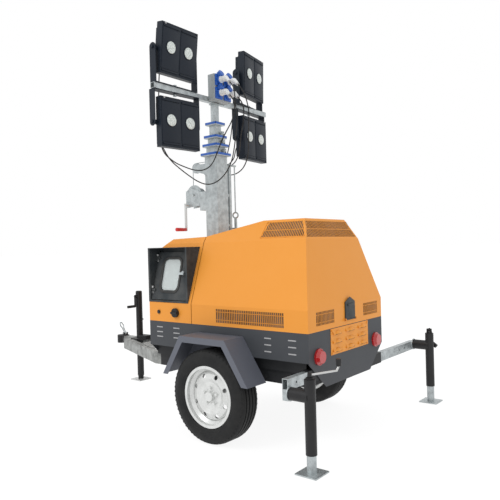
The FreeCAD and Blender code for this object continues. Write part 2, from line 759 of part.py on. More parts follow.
def fuel_cap():
    """Quarter-turn cap with a grip bar, plugged into the filler neck."""
    face = -body_half_width - 3.3
    rim = rod((fuel_cap_x, face - 16, fuel_cap_z), (fuel_cap_x, face, fuel_cap_z), 33)
    plug = rod((fuel_cap_x, face, fuel_cap_z), (fuel_cap_x, face + 16, fuel_cap_z), filler_radius - 4.3)
    grip = block((fuel_cap_x - 30, fuel_cap_x + 30), (face - 28, face - 16), (fuel_cap_z - 7, fuel_cap_z + 7))
    return union([rim, plug, grip])


def genset():
    """Three-cylinder diesel and its flange-mounted alternator on four feet, with manifold, silencer and filter."""
    floor = rail_bottom + rail_height + tray_sheet
    x0, x1 = 170.0, 500.0
    sump = block((x0 + 20, x1 - 20), (-95, 95), (floor + 40, floor + 130))
    crankcase = block((x0, x1), (-120, 120), (floor + 120, floor + 300))
    head = block((x0 + 10, x1 - 10), (-95, 85), (floor + 300, floor + 390))
    cover = block((x0 + 25, x1 - 25), (-60, 50), (floor + 390, floor + 430))
    flywheel = rod((x0 - 50, 0, floor + 190), (x0, 0, floor + 190), 165)
    feet = []
    for x in (x0 + 50, x1 - 50):
        for side in (-1, 1):
            foot = block((x - 30, x + 30), (110, 190), (floor + 110, floor + 130)).fuse(
                block((x - 30, x + 30), (150, 190), (floor, floor + 110)))
            feet.append(on_side(foot, side))
    pulley = rod((x1, 0, floor + 190), (x1 + 24, 0, floor + 190), 70)
    filter_body = rod((x0 + 40, 185, floor + 420), (x1 - 60, 185, floor + 420), 62)
    filter_duct = block((x0 + 120, x0 + 160), (80, 150), (floor + 340, floor + 380))
    manifold = block((x0 + 30, x1 - 30), (-135, -90), (floor + 330, floor + 370))
    riser = rod((x0 + 160, -115, floor + 360), (x0 + 160, -115, floor + 480), 20)
    silencer = rod((x0 - 60, -115, floor + 540), (x1 + 20, -115, floor + 540), 68)
    engine = union([sump, crankcase, head, cover, flywheel, pulley, manifold, riser, silencer, filter_body,
                    filter_duct] + feet)
    case = rod((x0 - 350, 0, floor + 190), (x0 - 50, 0, floor + 190), 150)
    bore = rod((x0 - 330, 0, floor + 190), (x0 - 50, 0, floor + 190), 118)
    rotor = rod((x0 - 310, 0, floor + 190), (x0 - 50, 0, floor + 190), 112)
    terminal = block((x0 - 270, x0 - 120), (-60, 60), (floor + 330, floor + 420))
    saddle = block((x0 - 290, x0 - 240), (-110, 110), (floor, floor + 90))
    alternator = union([case.cut(bore), terminal, saddle])
    stator_core = union([rotor, rod((x0 - 350, 0, floor + 190), (x0 - 310, 0, floor + 190), 25)])
    return union([engine, alternator, stator_core])


def radiator():
    """Radiator with header tanks and a fan shroud, on a bracket to the tray."""
    floor = rail_bottom + rail_height + tray_sheet
    core = block((575, 612), (-230, 230), (floor + 60, floor + 500))
    tanks = [block((568, 619), (-235, 235), (floor + 500, floor + 545)),
             block((568, 619), (-235, 235), (floor + 20, floor + 60))]
    feet = [block((575, 610), (y - 20, y + 20), (floor, floor + 20)) for y in (-180, 180)]
    shroud = pipe((548, 0, floor + 190), (575, 0, floor + 190), 178, 168)
    return union([core, shroud] + tanks + feet)


def cooling_fan():
    """Fan on a shaft from the engine pulley: hub and six pitched blades."""
    floor = rail_bottom + rail_height + tray_sheet
    z = floor + 190
    hub = rod((524.3, 0, z), (566, 0, z), 34)
    blades = []
    for k in range(6):
        blade = block((550, 554), (-26, 26), (z + 30, z + 160))
        blade.rotate(vec(552, 0, z), vec(0, 0, 1), 24)
        blade.rotate(vec(552, 0, z), vec(1, 0, 0), 60 * k)
        blades.append(blade)
    return union([hub] + blades)


def battery():
    floor = rail_bottom + rail_height + tray_sheet
    case = block((340, 515), (225, 405), (floor, floor + 175))
    terminals = [rod((365, y, floor + 175), (365, y, floor + 192), 9) for y in (255, 375)]
    return union([case] + terminals)


# ---- mast ---------------------------------------------------------------
def mast_collar(index):
    """Guide collar at the head of a section: plastic frame on a steel flange, with a rope sheave lug."""
    half_x = collar_sizes_x[index] / 2
    half_y = collar_sizes_y[index] / 2
    low = section_tops[index]
    plate = block((mast_x - half_x, mast_x + half_x), (-half_y, half_y), (low, low + collar_thickness))
    opening = section_sizes[index + 1] / 2 + mast_play
    hole = block((mast_x - opening, mast_x + opening), (-opening, opening), (low - 1, low + collar_thickness + 1))
    return plate.cut(hole)


def sheave_lug(index):
    """Small rope sheave on the rear side of a collar."""
    z = section_tops[index] + collar_thickness
    face = mast_x + collar_sizes_x[index] / 2 - 24
    cheeks = [block((face, face + 22), (y, y + 4), (z, z + 34)) for y in (14, 34)]
    wheel = rod((face + 11, 18, z + 20), (face + 11, 34, z + 20), 13)
    return union(cheeks + [wheel])


def mast_tube(index):
    return square_tube(mast_x, 0, section_sizes[index], section_wall,
                       (section_bottoms[index], section_tops[index]))


def mast_section_1():
    """Fixed-length outer tube on its pivot, with winch bracket, sheave arm, cable guide and stay line."""
    half = section_sizes[0] / 2
    front = mast_x - half
    floor = block((front + 1, mast_x + half - 1), (-half + 1, half - 1), (section_bottoms[0], section_bottoms[0] + 18))
    floor = floor.cut(rod((mast_x, 0, 400), (mast_x, 0, 700), pivot_radius + running_clearance))
    bracket = block((front - 66, front), (-half, half), (1595, 1745)).cut(
        block((front - 67, front), (-half + 5, half - 5), (1600, 1740)))
    cheeks = []
    for y in (-46, 40):
        cheeks.append(prism_y([(front - 66, 1640), (front - 66, 1745), (winch_x - 30, 1790), (winch_x - 85, 1760),
                               (winch_x - 85, 1625)], y, y + 6))
    arm = []
    for y in (-20, 14):
        arm.append(prism_y([(front, 1850), (front, 1975), (winch_x - 10, 1975), (winch_x - 26, 1950),
                            (winch_x - 10, 1918), (front - 60, 1895)], y, y + 6))
    arm.append(block((front - 40, front), (-14, 14), (1905, 1925)))
    bores = [rod((winch_x, -60, winch_z), (winch_x, 60, winch_z), 10 + running_clearance),
             rod((pinion_x, -60, pinion_z), (pinion_x, 60, pinion_z), 8 + running_clearance)]
    plates = [cheek.cut(bores[0]).cut(bores[1]) for cheek in cheeks]
    sheave_pin = rod((winch_x, -20, sheave_z), (winch_x, 20, sheave_z), 6)
    rear = mast_x + half
    guide = block((rear - 20, rear + 2), (half + 18, half + 42), (1430, 1965))
    ties = [block((rear - 16, rear - 2), (half, half + 18), (z, z + 20)) for z in (1460, 1700, 1930)]
    step = block((rear - 6, rear + 34), (half + 42, half + 92), (1440, 1450))
    post = block((rear, rear + 16), (half + 70, half + 86), (1450, 1530))
    ring = Part.makeTorus(22, 6, vec(rear + 8, half + 78, 1552), vec(0.3, -0.95, 0))
    line = rod((rear + 8, half + 78, 1574), (rear + 8, half + 78, 1950), 5)
    top_tie = block((rear, rear + 16), (half + 42, half + 90), (1944, 1956))
    shapes = [mast_tube(0), mast_collar(0), sheave_lug(0), floor, bracket, guide, step, post, ring, line, top_tie]
    rope_x = winch_x - sheave_radius - rope_radius - flat_play
    bend = sheave_radius + rope_radius + flat_play
    rope = [rod((rope_x, 0, winch_z), (rope_x, 0, sheave_z), rope_radius),
            rod((winch_x, 0, sheave_z + bend), (front, 0, sheave_z + bend), rope_radius),
            Part.makeTorus(bend, rope_radius, vec(winch_x, 0, sheave_z), vec(0, 1, 0)).common(
                block((winch_x - 60, winch_x), (-10, 10), (sheave_z, sheave_z + 60)))]
    return union(shapes + plates + arm + [sheave_pin] + ties + rope)


def mast_section(index):
    return union([mast_tube(index), mast_collar(index)] + ([sheave_lug(index)] if index < 3 else []))


def winch_drum():
    """Rope drum with its large gear, between the cheeks of the winch frame."""
    flange = rod((winch_x, 30, winch_z), (winch_x, 36, winch_z), 62)
    core = rod((winch_x, -30, winch_z), (winch_x, 30, winch_z), drum_radius)
    gear = rod((winch_x, -38, winch_z), (winch_x, -30, winch_z), drum_gear_radius)
    spindle = rod((winch_x, -56, winch_z), (winch_x, 52, winch_z), 10)
    rope = pipe((winch_x, -26, winch_z), (winch_x, 26, winch_z), drum_radius + 8, drum_radius)
    return union([flange, core, gear, spindle, rope])


def winch_crank():
    """Pinion shaft, crank arm and its turning grip."""
    shaft = rod((pinion_x, -84, pinion_z), (pinion_x, 50, pinion_z), 8)
    pinion = rod((pinion_x, -38, pinion_z), (pinion_x, -30, pinion_z), 16)
    low = pinion_z - winch_arm
    arm = block((pinion_x - 12, pinion_x + 12), (-84, -78), (low - 12, pinion_z + 14))
    grip = rod((pinion_x, -192, low), (pinion_x, -84, low), 15)
    return union([shaft, pinion, arm, grip])


def mast_pulley():
    """Grooved head sheave on its pin."""
    wheel = turned_about_y([(sheave_radius + 4, -10), (sheave_radius, -3), (sheave_radius, 3),
                            (sheave_radius + 4, 10), (6 + running_clearance, 10), (6 + running_clearance, -10)],
                           winch_x, sheave_z)
    return wheel


def head_crossbar():
    """Top mast tube, crossbar and the four lamp bolts with their collars."""
    x = mast_x
    tube = square_tube(x, 0, section_sizes[4], section_wall, (section_bottoms[4], section_tops[4]))
    half = crossbar_size / 2
    low = section_tops[4]
    cap = block((x - 32, mast_x + 30), (-32, 32), (low - 8, low))
    bar = block((mast_x - half, mast_x + half), (-crossbar_half_length, crossbar_half_length), (low, low + crossbar_size))
    bar = bar.cut(block((mast_x - half + 3, mast_x + half - 3), (-700, 700), (low + 3, low + crossbar_size - 3)))
    bolts = []
    for y in (-lamp_y, lamp_y):
        bolts.append(rod((mast_x, y, low - 22), (mast_x, y, low + crossbar_size + 22), yoke_bolt_radius))
        for z in (low - 22, low + crossbar_size + yoke_thickness + 1):
            bolts.append(rod((mast_x, y, z), (mast_x, y, z + 14), 14))
    return union([tube, cap, bar] + bolts)


def junction_box():
    """Lamp socket box on the crossbar with four inlets facing the rear."""
    front = box_back_x + box_depth
    case = block((box_back_x, front), box_y, box_z)
    case = case.cut(block((box_back_x + 4, front - 4), (box_y[0] + 4, box_y[1] - 4), (box_z[0] + 4, box_z[1] - 4)))
    shapes = [case]
    for y in socket_y:
        for z in socket_z:
            shapes.append(block((front, front + 8), (y - 40, y + 40), (z - 44, z + 44)))
            shapes.append(pipe((front + 8, y, z), (front + socket_length, y, z), 32, plug_radius + 2))
    return union(shapes)


def plug_end(y, z):
    """Rear end of a plug, where its cable leaves it, and the direction it leaves in."""
    elbow = box_back_x + box_depth + 12 + plug_length
    step = plug_tail * math.sqrt(0.5)
    return (elbow + step, y, z - step)


def lamp_plugs():
    front = box_back_x + box_depth
    plugs = []
    for y in socket_y:
        for z in socket_z:
            elbow = (front + 12 + plug_length, y, z)
            barrel = rod((front + 12, y, z), elbow, plug_radius)
            tail = cone((elbow[0] - 8, y, z + 8), plug_end(y, z), plug_radius - 2, 12)
            pins = rod((front + 8, y, z), (front + 12, y, z), 16)
            plugs.append(union([barrel, tail, pins]))
    return group(plugs)


# ---- lamps --------------------------------------------------------------
def lamp_place(name):
    """Centre of a lamp's tilt axis."""
    y = -lamp_y if name.startswith("left") else lamp_y
    z = upper_tilt_z if name.endswith("upper") else lower_tilt_z
    return (mast_x, y, z)


def lamp_yoke(name):
    """U-shaped flat-bar yoke bolted to the crossbar, upright or hanging."""
    x, y, z = lamp_place(name)
    upper = name.endswith("upper")
    bar_z = section_tops[4] + crossbar_size + flat_play if upper else section_tops[4] - yoke_thickness - flat_play
    bar_range = (bar_z, bar_z + yoke_thickness)
    half = yoke_bar_width / 2
    outer = yoke_half_span + yoke_thickness
    shapes = [block((x - half, x + half), (y - outer, y + outer), bar_range)]
    arm_z = (bar_z, z) if upper else (z, bar_z + yoke_thickness)
    for side in (-1, 1):
        low_y = y + side * yoke_half_span
        high_y = y + side * outer
        shapes.append(block((x - half, x + half), (low_y, high_y), arm_z))
        shapes.append(rod((x, low_y, z), (x, high_y, z), half))
    yoke = union(shapes)
    yoke = yoke.cut(rod((x, y - outer - 5, z), (x, y + outer + 5, z), yoke_bolt_radius + running_clearance))
    yoke = yoke.cut(rod((x, y, bar_z - 5), (x, y, bar_z + 20), yoke_bolt_radius + running_clearance))
    yoke.rotate(vec(x, y, 0), vec(0, 0, 1), lamp_pans[name])
    return yoke


def lamp(name):
    """LED floodlight: cast housing, finned back in two halves, two lenses, tilt pins."""
    x, y, z = lamp_place(name)
    half_w = lamp_width / 2
    half_h = lamp_height / 2
    back = x + 5
    front = back + lamp_depth
    housing = block((back, front), (y - half_w, y + half_w), (z - half_h, z + half_h))
    housing = housing.cut(block((back + lamp_wall, front - lamp_wall), (y - half_w + lamp_wall, y + half_w - lamp_wall),
                                (z - half_h + lamp_wall, z + half_h - lamp_wall)))
    shapes = [housing]
    for side in (-1, 1):
        low = y + side * 40
        high = y + side * 160
        sink = block((back - 14, back), (low, high), (z - 150, z + 150))
        sink = sink.cut(block((back - 15, back - 1), (y + side * 44, y + side * 156), (z - 146, z + 146)))
        shapes.append(sink)
        for k in range(7):
            fin_y = y + side * (52 + 16 * k)
            shapes.append(block((back - 42, back), (fin_y - 1.5, fin_y + 1.5), (z - 150, z + 150)))
        boss_to = yoke_half_span - 0.3
        shapes.append(rod((x, y + side * 150, z), (x, y + side * boss_to, z), 16))
        shapes.append(rod((x, y + side * 150, z), (x, y + side * (yoke_half_span + yoke_thickness + 2), z),
                          yoke_bolt_radius))
        shapes.append(rod((x, y + side * (yoke_half_span + yoke_thickness + 0.3), z),
                          (x, y + side * (yoke_half_span + yoke_thickness + 10), z), 13))
        shapes.append(block((back - 12, back), (y + side * 150, y + side * 180), (z - 18, z + 18)))
    gland = rod((x - gland_reach, y, z), (back, y, z), gland_radius)
    shapes.append(gland)
    lenses = []
    for lens_y in (y - 88, y + 88):
        lenses.append(rod((front, lens_y, z + 14), (front + 6, lens_y, z + 14), lens_radius))
    whole = group([union(shapes)] + lenses)
    whole.rotate(vec(x, y, z), vec(0, 1, 0), lamp_tilts[name])
    whole.rotate(vec(x, y, z), vec(0, 0, 1), lamp_pans[name])
    return whole


# ---- jacks and outriggers -----------------------------------------------
def outrigger(side, end_y, bottom, pivot_z):
    """Sliding arm drawn on the right: box tube, end bracket, swivel flange and pin."""
    x0 = arm_front_x
    x1 = arm_front_x + arm_width
    tube = block((x0, x1), (end_y - arm_length, end_y), (bottom, bottom + arm_height))
    tube = tube.cut(block((x0 + arm_wall, x1 - arm_wall), (end_y - arm_length - 1, end_y + 1),
                          (bottom + arm_wall, bottom + arm_height - arm_wall)))
    for k in range(4):
        y = end_y - 90 - 100 * k
        tube = tube.cut(rod((x0 - 5, y, bottom + 33), (x1 + 5, y, bottom + 33), 7))
    pivot_y = end_y - 20
    low = pivot_z - 42
    bracket = block((x0, x1), (end_y - 42, end_y), (low, bottom + arm_wall))
    flange = rod((x1, pivot_y, pivot_z), (x1 + 8, pivot_y, pivot_z), 44)
    pin = rod((x1, pivot_y, pivot_z), (x1 + 70, pivot_y, pivot_z), swivel_pin_radius)
    parts = [tube, flange, pin]
    if low < bottom:
        parts.append(bracket)
    return on_side(union(parts), side)


def jack_tube(side, end_y, top_z):
    """Swivelling jack body: drum on the pin, outer tube and capped gear head."""
    y = end_y - 20
    pivot_z = top_z - jack_drum_below_top
    start = arm_front_x + arm_width + 8.3
    drum = rod((start, y, pivot_z), (jack_x, y, pivot_z), jack_drum_radius)
    tube = rod((jack_x, y, top_z - jack_body_length), (jack_x, y, top_z), jack_tube_radius)
    bore = rod((jack_x, y, top_z - jack_body_length - 1), (jack_x, y, top_z - jack_head_cover), jack_tube_radius - jack_tube_wall)
    head = rod((jack_x, y, top_z), (jack_x, y, top_z + 10), 22)
    body = union([drum, tube, head]).cut(bore)
    body = body.cut(rod((start - 1, y, pivot_z), (start + 64, y, pivot_z), swivel_pin_radius + running_clearance))
    if side < 0:
        body = body.cut(rod((jack_x, y, top_z - 20), (jack_x, y, top_z + 20), 8 + running_clearance))
    else:
        body = union([body, fold_fork(end_y, top_z)])
    return on_side(body, side)


def jack_leg(side, end_y, top_z):
    """Inner tube and foot plate, standing on the ground."""
    y = end_y - 20
    half = jack_foot_size / 2
    foot = block((jack_x - half, jack_x + half), (y - half, y + half), (0, jack_foot_thickness))
    tube_top = top_z - jack_head_cover - jack_retract - 6
    tube = pipe((jack_x, y, 0), (jack_x, y, tube_top), jack_leg_radius, jack_leg_radius - 4)
    return on_side(union([foot, tube]), side)


def left_jack_crank(end_y, top_z):
    """Top crank standing out sideways with an upright knob, drawn on the right."""
    y = end_y - 20
    shaft = rod((jack_x, y, top_z - 14), (jack_x, y, top_z + 30), 8)
    hub = rod((jack_x, y, top_z + 10.3), (jack_x, y, top_z + 34), 14)
    arm_z = top_z + 24
    arm = rod((jack_x, y, arm_z), (jack_x, y - crank_reach, arm_z), 6)
    rise = rod((jack_x, y - crank_reach, arm_z), (jack_x, y - crank_reach - 16, arm_z + 26), 6)
    knob = rod((jack_x, y - crank_reach - 16, arm_z + 24), (jack_x, y - crank_reach - 16, arm_z + 68), 17)
    crank = union([shaft, hub, arm, rise, knob])
    crank.rotate(vec(jack_x, y, 0), vec(0, 0, 1), crank_rest_turn)
    return on_side(crank, -1)


def fold_fork(end_y, top_z):
    """Two cheeks and a cross pin on the right jack's head, where its crank folds."""
    y = end_y - 20
    pin_z = top_z + fold_pin_height
    cheeks = [block((x, x + 4), (y - 11, y + 11), (top_z + 5, pin_z + 11)) for x in (jack_x - 18.3, jack_x + 14.3)]
    pin = rod((jack_x - 20, y, pin_z), (jack_x + 20, y, pin_z), fold_pin_radius)
    return union(cheeks + [pin])


def right_jack_crank(end_y, top_z):
    """The same crank folded down beside its jack, hung on the fork's pin."""
    y = end_y - 20
    pin_z = top_z + fold_pin_height
    hub = rod((jack_x - 14, y, pin_z), (jack_x + 14, y, pin_z), 12)
    points = [(jack_x, y - 6, top_z + 34), (jack_x, y + 12, top_z + 34), (jack_x, y + 48, top_z + 4),
              (jack_x, y + 62, top_z - 78)]
    bars = [rod(points[k], points[k + 1], 6) for k in range(3)]
    grip = rod((jack_x, y + 62, top_z - 92), (jack_x + 34, y + 62, top_z - 116), 17)
    neck = rod(points[-1], (jack_x, y + 62, top_z - 92), 6)
    crank = union([hub, grip, neck] + bars)
    return crank.cut(rod((jack_x - 30, y, pin_z), (jack_x + 30, y, pin_z), fold_pin_radius + running_clearance))


def front_jack_tube():
    """Drawbar jack body with its clamp block between the beams."""
    x = front_jack_x
    tube = rod((x, 0, front_jack_bottom), (x, 0, front_jack_top), front_jack_radius)
    cap = rod((x, 0, front_jack_top), (x, 0, front_jack_top + 6), front_jack_radius - 4)
    bore = rod((x, 0, front_jack_bottom - 1), (x, 0, front_jack_top - 10), front_jack_radius - 4)
    clamp = block((x + 20, x + 120), (-32, 32), (rail_bottom + rail_height + 0.0, rail_bottom + rail_height + 34))
    collar = rod((x, 0, 470), (x, 0, 520), front_jack_radius + 5)
    saddle = block((x - 30, x + 130), (-80, 80), (rail_bottom + rail_height, rail_bottom + rail_height + 8))
    bolts = [rod((x + 26, y, front_jack_top - 250), (x + 40, y, front_jack_top - 250), 6) for y in (-8, 8)]
    boss = rod((x, 0, front_jack_top - 42), (x, -front_jack_radius - 12, front_jack_top - 42), 15)
    body = union([tube, cap, clamp, saddle, boss] + bolts).cut(bore)
    return body.cut(rod((x, 10, front_jack_top - 42), (x, -80, front_jack_top - 42), 7 + running_clearance))


def front_jack_leg():
    x = front_jack_x
    half = front_foot_size / 2
    foot = block((x - half, x + half), (-half, half), (front_jack_foot_height, front_jack_foot_height + 8))
    tube = pipe((x, 0, front_jack_foot_height), (x, 0, front_jack_top - 80), front_leg_radius, front_leg_radius - 4)
    return union([foot, tube])


def front_jack_crank():
    x = front_jack_x
    z = front_jack_top - 42
    y = -front_jack_radius - 12.3
    shaft = rod((x, -12, z), (x, y - 12, z), 7)
    arm = block((x - 9, x + 9), (y - 8, y), (z - 96, z + 10))
    grip = rod((x, y - 8, z - 88), (x, y - 88, z - 88), 12)
    return union([shaft, arm, grip])


# ---- lamp cables --------------------------------------------------------
def cable_routes():
    """Route of each lamp cable, from its plug to the gland behind its lamp."""
    routes = {}
    low_left = plug_end(socket_y[0], socket_z[0])
    high_left = plug_end(socket_y[0], socket_z[1])
    low_right = plug_end(socket_y[1], socket_z[0])
    high_right = plug_end(socket_y[1], socket_z[1])
    gland_x = mast_x - math.hypot(gland_reach, gland_radius) - cable_end_gap
    left_low_end = (gland_x, -lamp_y, lower_tilt_z)
    left_high_end = (gland_x, -lamp_y, upper_tilt_z)
    right_low_end = (gland_x, lamp_y, lower_tilt_z)
    right_high_end = (gland_x, lamp_y, upper_tilt_z)
    routes["lamp_cable_left_lower"] = [
        low_left, (-225, -48, 2424), (-222, -46, 2345), (-250, -50, 2262), (-300, -70, 2180),
        (-338, -92, 2095), (-362, -115, 2005), (-405, -132, 1925), (-480, -150, 1895), (-560, -172, 1908),
        (-618, -205, 1935), (-650, -262, 1960), (-658, -325, 1992), (-653, -383, 2022), (-640, -424, 2064),
        (-634, -435, 2115), (-620, -435, 2164), (-576, -435, 2202), (-526, -435, 2205), left_low_end]
    routes["lamp_cable_left_upper"] = [
        high_left, (-222, -48, 2524), (-204, -64, 2440), (-196, -62, 2345), (-215, -30, 2250),
        (-250, -10, 2155), (-270, -8, 2060), (-282, -24, 1965), (-312, -60, 1870), (-368, -105, 1800),
        (-445, -136, 1782), (-520, -160, 1812), (-588, -186, 1862), (-648, -222, 1918), (-686, -296, 1985),
        (-692, -372, 2085), (-678, -420, 2195), (-660, -435, 2310), (-648, -435, 2430), (-641, -435, 2545),
        (-634, -435, 2625), (-621, -435, 2692), (-578, -435, 2731), (-528, -435, 2735), left_high_end]
    routes["lamp_cable_right_lower"] = [
        low_right, (-225, 52, 2424), (-222, 66, 2345), (-250, 84, 2262), (-300, 112, 2178),
        (-328, 134, 2098), (-368, 158, 2030), (-430, 182, 1982), (-510, 205, 1962), (-582, 235, 1955),
        (-635, 280, 1968), (-656, 335, 1996), (-652, 387, 2028), (-640, 425, 2070), (-634, 435, 2118),
        (-620, 435, 2164), (-576, 435, 2202), (-526, 435, 2205), right_low_end]
    routes["lamp_cable_right_upper"] = [
        high_right, (-222, 52, 2524), (-200, 74, 2440), (-194, 96, 2345), (-222, 118, 2258),
        (-244, 142, 2168), (-262, 162, 2078), (-294, 180, 1998), (-354, 202, 1935), (-440, 228, 1904),
        (-525, 250, 1898), (-602, 278, 1916), (-662, 320, 1962), (-693, 368, 2035), (-696, 405, 2120),
        (-683, 428, 2220), (-665, 435, 2330), (-650, 435, 2440), (-642, 435, 2545), (-634, 435, 2625),
        (-621, 435, 2692), (-578, 435, 2731), (-528, 435, 2735), right_high_end]
    return routes


def tube_along(points, radius):
    """Straight runs joined by tangent arcs, each as large as its two runs allow."""
    route = [vec(*p) for p in points]
    edges = []
    here = route[0]
    radii = []
    for k in range(1, len(route) - 1):
        before = route[k] - route[k - 1]
        after = route[k + 1] - route[k]
        turn = before.getAngle(after)
        cut = 0.45 * min(before.Length, after.Length)
        bend = cut / math.tan(turn / 2)
        radii.append(round(bend))
        d0 = vec(before).normalize()
        d1 = vec(after).normalize()
        start = route[k] - d0 * cut
        end = route[k] + d1 * cut
        centre = start + (d1 - d0 * d0.dot(d1)).normalize() * bend
        middle = centre + (route[k] - centre).normalize() * bend
        edges.append(Part.LineSegment(here, start).toShape())
        edges.append(Part.Arc(start, middle, end).toShape())
        here = end
    edges.append(Part.LineSegment(here, route[-1]).toShape())
    path = Part.Wire(edges)
    circle = Part.Wire(Part.makeCircle(radius, route[0], route[1] - route[0]))
    solid = path.makePipeShell([circle], True, False)
    return solid, path.Length, radii


def build():
    for name, side in (("left", -1), ("right", 1)):
        pieces["wheel_" + name] = on_side(wheel_disc(), side)
        pieces["tyre_" + name] = on_side(tyre(), side)
    pieces["chassis_frame"] = chassis_frame()
    pieces["drawbar"] = drawbar()
    pieces["coupler_housing"] = coupler_housing()
    pieces["coupler_handle"] = coupler_handle()
    pieces["mudguards"] = group([mudguard(-1), mudguard(1)])
    pieces["lower_body"] = lower_body()
    pieces["rear_panel"] = rear_panel()
    pieces["tail_lights"] = tail_lights()
    pieces["canopy_front"] = canopy_front()
    pieces["canopy_hood"] = group([canopy_hood()] + hood_grilles())
    pieces["hood_latch"] = hood_latch()
    pieces["door_surround"] = door_surround()
    pieces["control_door"] = control_door()
    pieces["door_window"] = door_window()
    pieces["door_latch"] = door_latch()
    pieces["control_panel"] = control_panel()
    pieces["emergency_stop"] = emergency_stop()
    pieces["fuel_tank"] = fuel_tank()
    pieces["fuel_cap"] = fuel_cap()
    pieces["genset"] = genset()
    pieces["radiator"] = radiator()
    pieces["cooling_fan"] = cooling_fan()
    pieces["battery"] = battery()
    pieces["mast_section_1"] = mast_section_1()
    for index in (1, 2, 3):
        pieces["mast_section_%d" % (index + 1)] = mast_section(index)
    pieces["mast_head"] = head_crossbar()
    pieces["winch_drum"] = winch_drum()
    pieces["winch_crank"] = winch_crank()
    pieces["mast_pulley"] = mast_pulley()
    pieces["junction_box"] = junction_box()
    pieces["lamp_plugs"] = lamp_plugs()
    for name in lamp_tilts:
        pieces["lamp_yoke_" + name] = lamp_yoke(name)
        pieces["lamp_" + name] = lamp(name)
    for name, side, end_y, bottom, top_z in (("left", -1, left_arm_end_y, left_arm_bottom, left_jack_top),
                                             ("right", 1, right_arm_end_y, right_arm_bottom, right_jack_top)):
        pieces["outrigger_" + name] = outrigger(side, end_y, bottom, top_z - jack_drum_below_top)
        pieces["rear_jack_tube_" + name] = jack_tube(side, end_y, top_z)
        pieces["rear_jack_leg_" + name] = jack_leg(side, end_y, top_z)
    pieces["rear_jack_crank_left"] = left_jack_crank(left_arm_end_y, left_jack_top)
    pieces["rear_jack_crank_right"] = right_jack_crank(right_arm_end_y, right_jack_top)
    pieces["front_jack_tube"] = front_jack_tube()
    pieces["front_jack_leg"] = front_jack_leg()
    pieces["front_jack_crank"] = front_jack_crank()
    for name, points in cable_routes().items():
        solid, length, radii = tube_along(points, cable_diameter / 2)
        pieces[name] = solid
        print(name, "length %.0f" % length, "radii", radii)


build()
os.makedirs("parts", exist_ok=True)
for node in sorted(pieces):
    shape = pieces[node]
    shape.exportStep("parts/%s.step" % node)
print(len(pieces), "nodes")
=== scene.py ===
import bpy
import math
from mathutils import Matrix, Vector


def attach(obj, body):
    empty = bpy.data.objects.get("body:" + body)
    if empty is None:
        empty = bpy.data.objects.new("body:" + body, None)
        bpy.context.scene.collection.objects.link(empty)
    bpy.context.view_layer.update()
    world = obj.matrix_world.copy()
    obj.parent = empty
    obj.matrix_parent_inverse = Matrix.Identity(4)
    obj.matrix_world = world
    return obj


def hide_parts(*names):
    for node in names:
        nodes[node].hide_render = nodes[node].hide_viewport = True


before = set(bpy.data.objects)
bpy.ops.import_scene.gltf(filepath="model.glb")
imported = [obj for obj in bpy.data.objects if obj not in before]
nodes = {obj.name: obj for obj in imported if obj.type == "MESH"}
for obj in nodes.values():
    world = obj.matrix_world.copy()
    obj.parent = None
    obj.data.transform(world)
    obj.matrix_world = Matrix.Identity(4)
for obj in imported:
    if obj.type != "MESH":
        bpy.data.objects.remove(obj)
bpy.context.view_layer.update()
bpy.ops.object.select_all(action="DESELECT")

# ---- Studio -------------------------------------------------------------
# A white floor that runs into a white sky, one soft key from above the
# near side, and the camera behind and to the left of the trailer.
camera_data = bpy.data.cameras.new("studio_camera")
camera = bpy.data.objects.new("studio_camera", camera_data)
bpy.context.scene.collection.objects.link(camera)
bpy.context.scene.camera = camera
camera_data.sensor_width = 36.0
camera_data.lens = 40.81
camera_data.clip_end = 300.0
ahead = Vector((-0.62521, 0.78044, -0.00505)).normalized()
level = ahead.cross(Vector((0, 0, 1))).normalized()
above = level.cross(ahead)
roll = math.radians(-1.5)
across = level * math.cos(roll) + above * math.sin(roll)
upward = -level * math.sin(roll) + above * math.cos(roll)
camera.matrix_world = Matrix((
    (across.x, upward.x, -ahead.x, 2.5643),
    (across.y, upward.y, -ahead.y, -3.3836),
    (across.z, upward.z, -ahead.z, 1.2901),
    (0, 0, 0, 1)))

bpy.context.scene.view_settings.view_transform = "Standard"
world = bpy.data.worlds.new("studio_sky")
bpy.context.scene.world = world
world.use_nodes = True
world.node_tree.nodes["Background"].inputs["Color"].default_value = (1, 1, 1, 1)
world.node_tree.nodes["Background"].inputs["Strength"].default_value = 1.0
key = bpy.data.objects.new("key_light", bpy.data.lights.new("key_light", "SUN"))
key.data.energy = 0.9
key.data.angle = math.radians(25)
key.rotation_euler = (math.radians(42), 0, math.radians(-18))
bpy.context.scene.collection.objects.link(key)

bpy.ops.mesh.primitive_plane_add(size=400, location=(0, 0, -0.001))
floor = bpy.context.object
floor.name = "studio_floor"
floor_paint = bpy.data.materials.new("studio_floor")
floor_paint.use_nodes = True
floor_shader = floor_paint.node_tree.nodes["Principled BSDF"]
floor_shader.inputs["Base Color"].default_value = (0.14, 0.14, 0.14, 1)
floor_shader.inputs["Roughness"].default_value = 1.0
floor_shader.inputs["Specular IOR Level"].default_value = 0.0
floor_shader.inputs["Emission Color"].default_value = (1, 1, 1, 1)
floor_shader.inputs["Emission Strength"].default_value = 0.9
floor.data.materials.append(floor_paint)


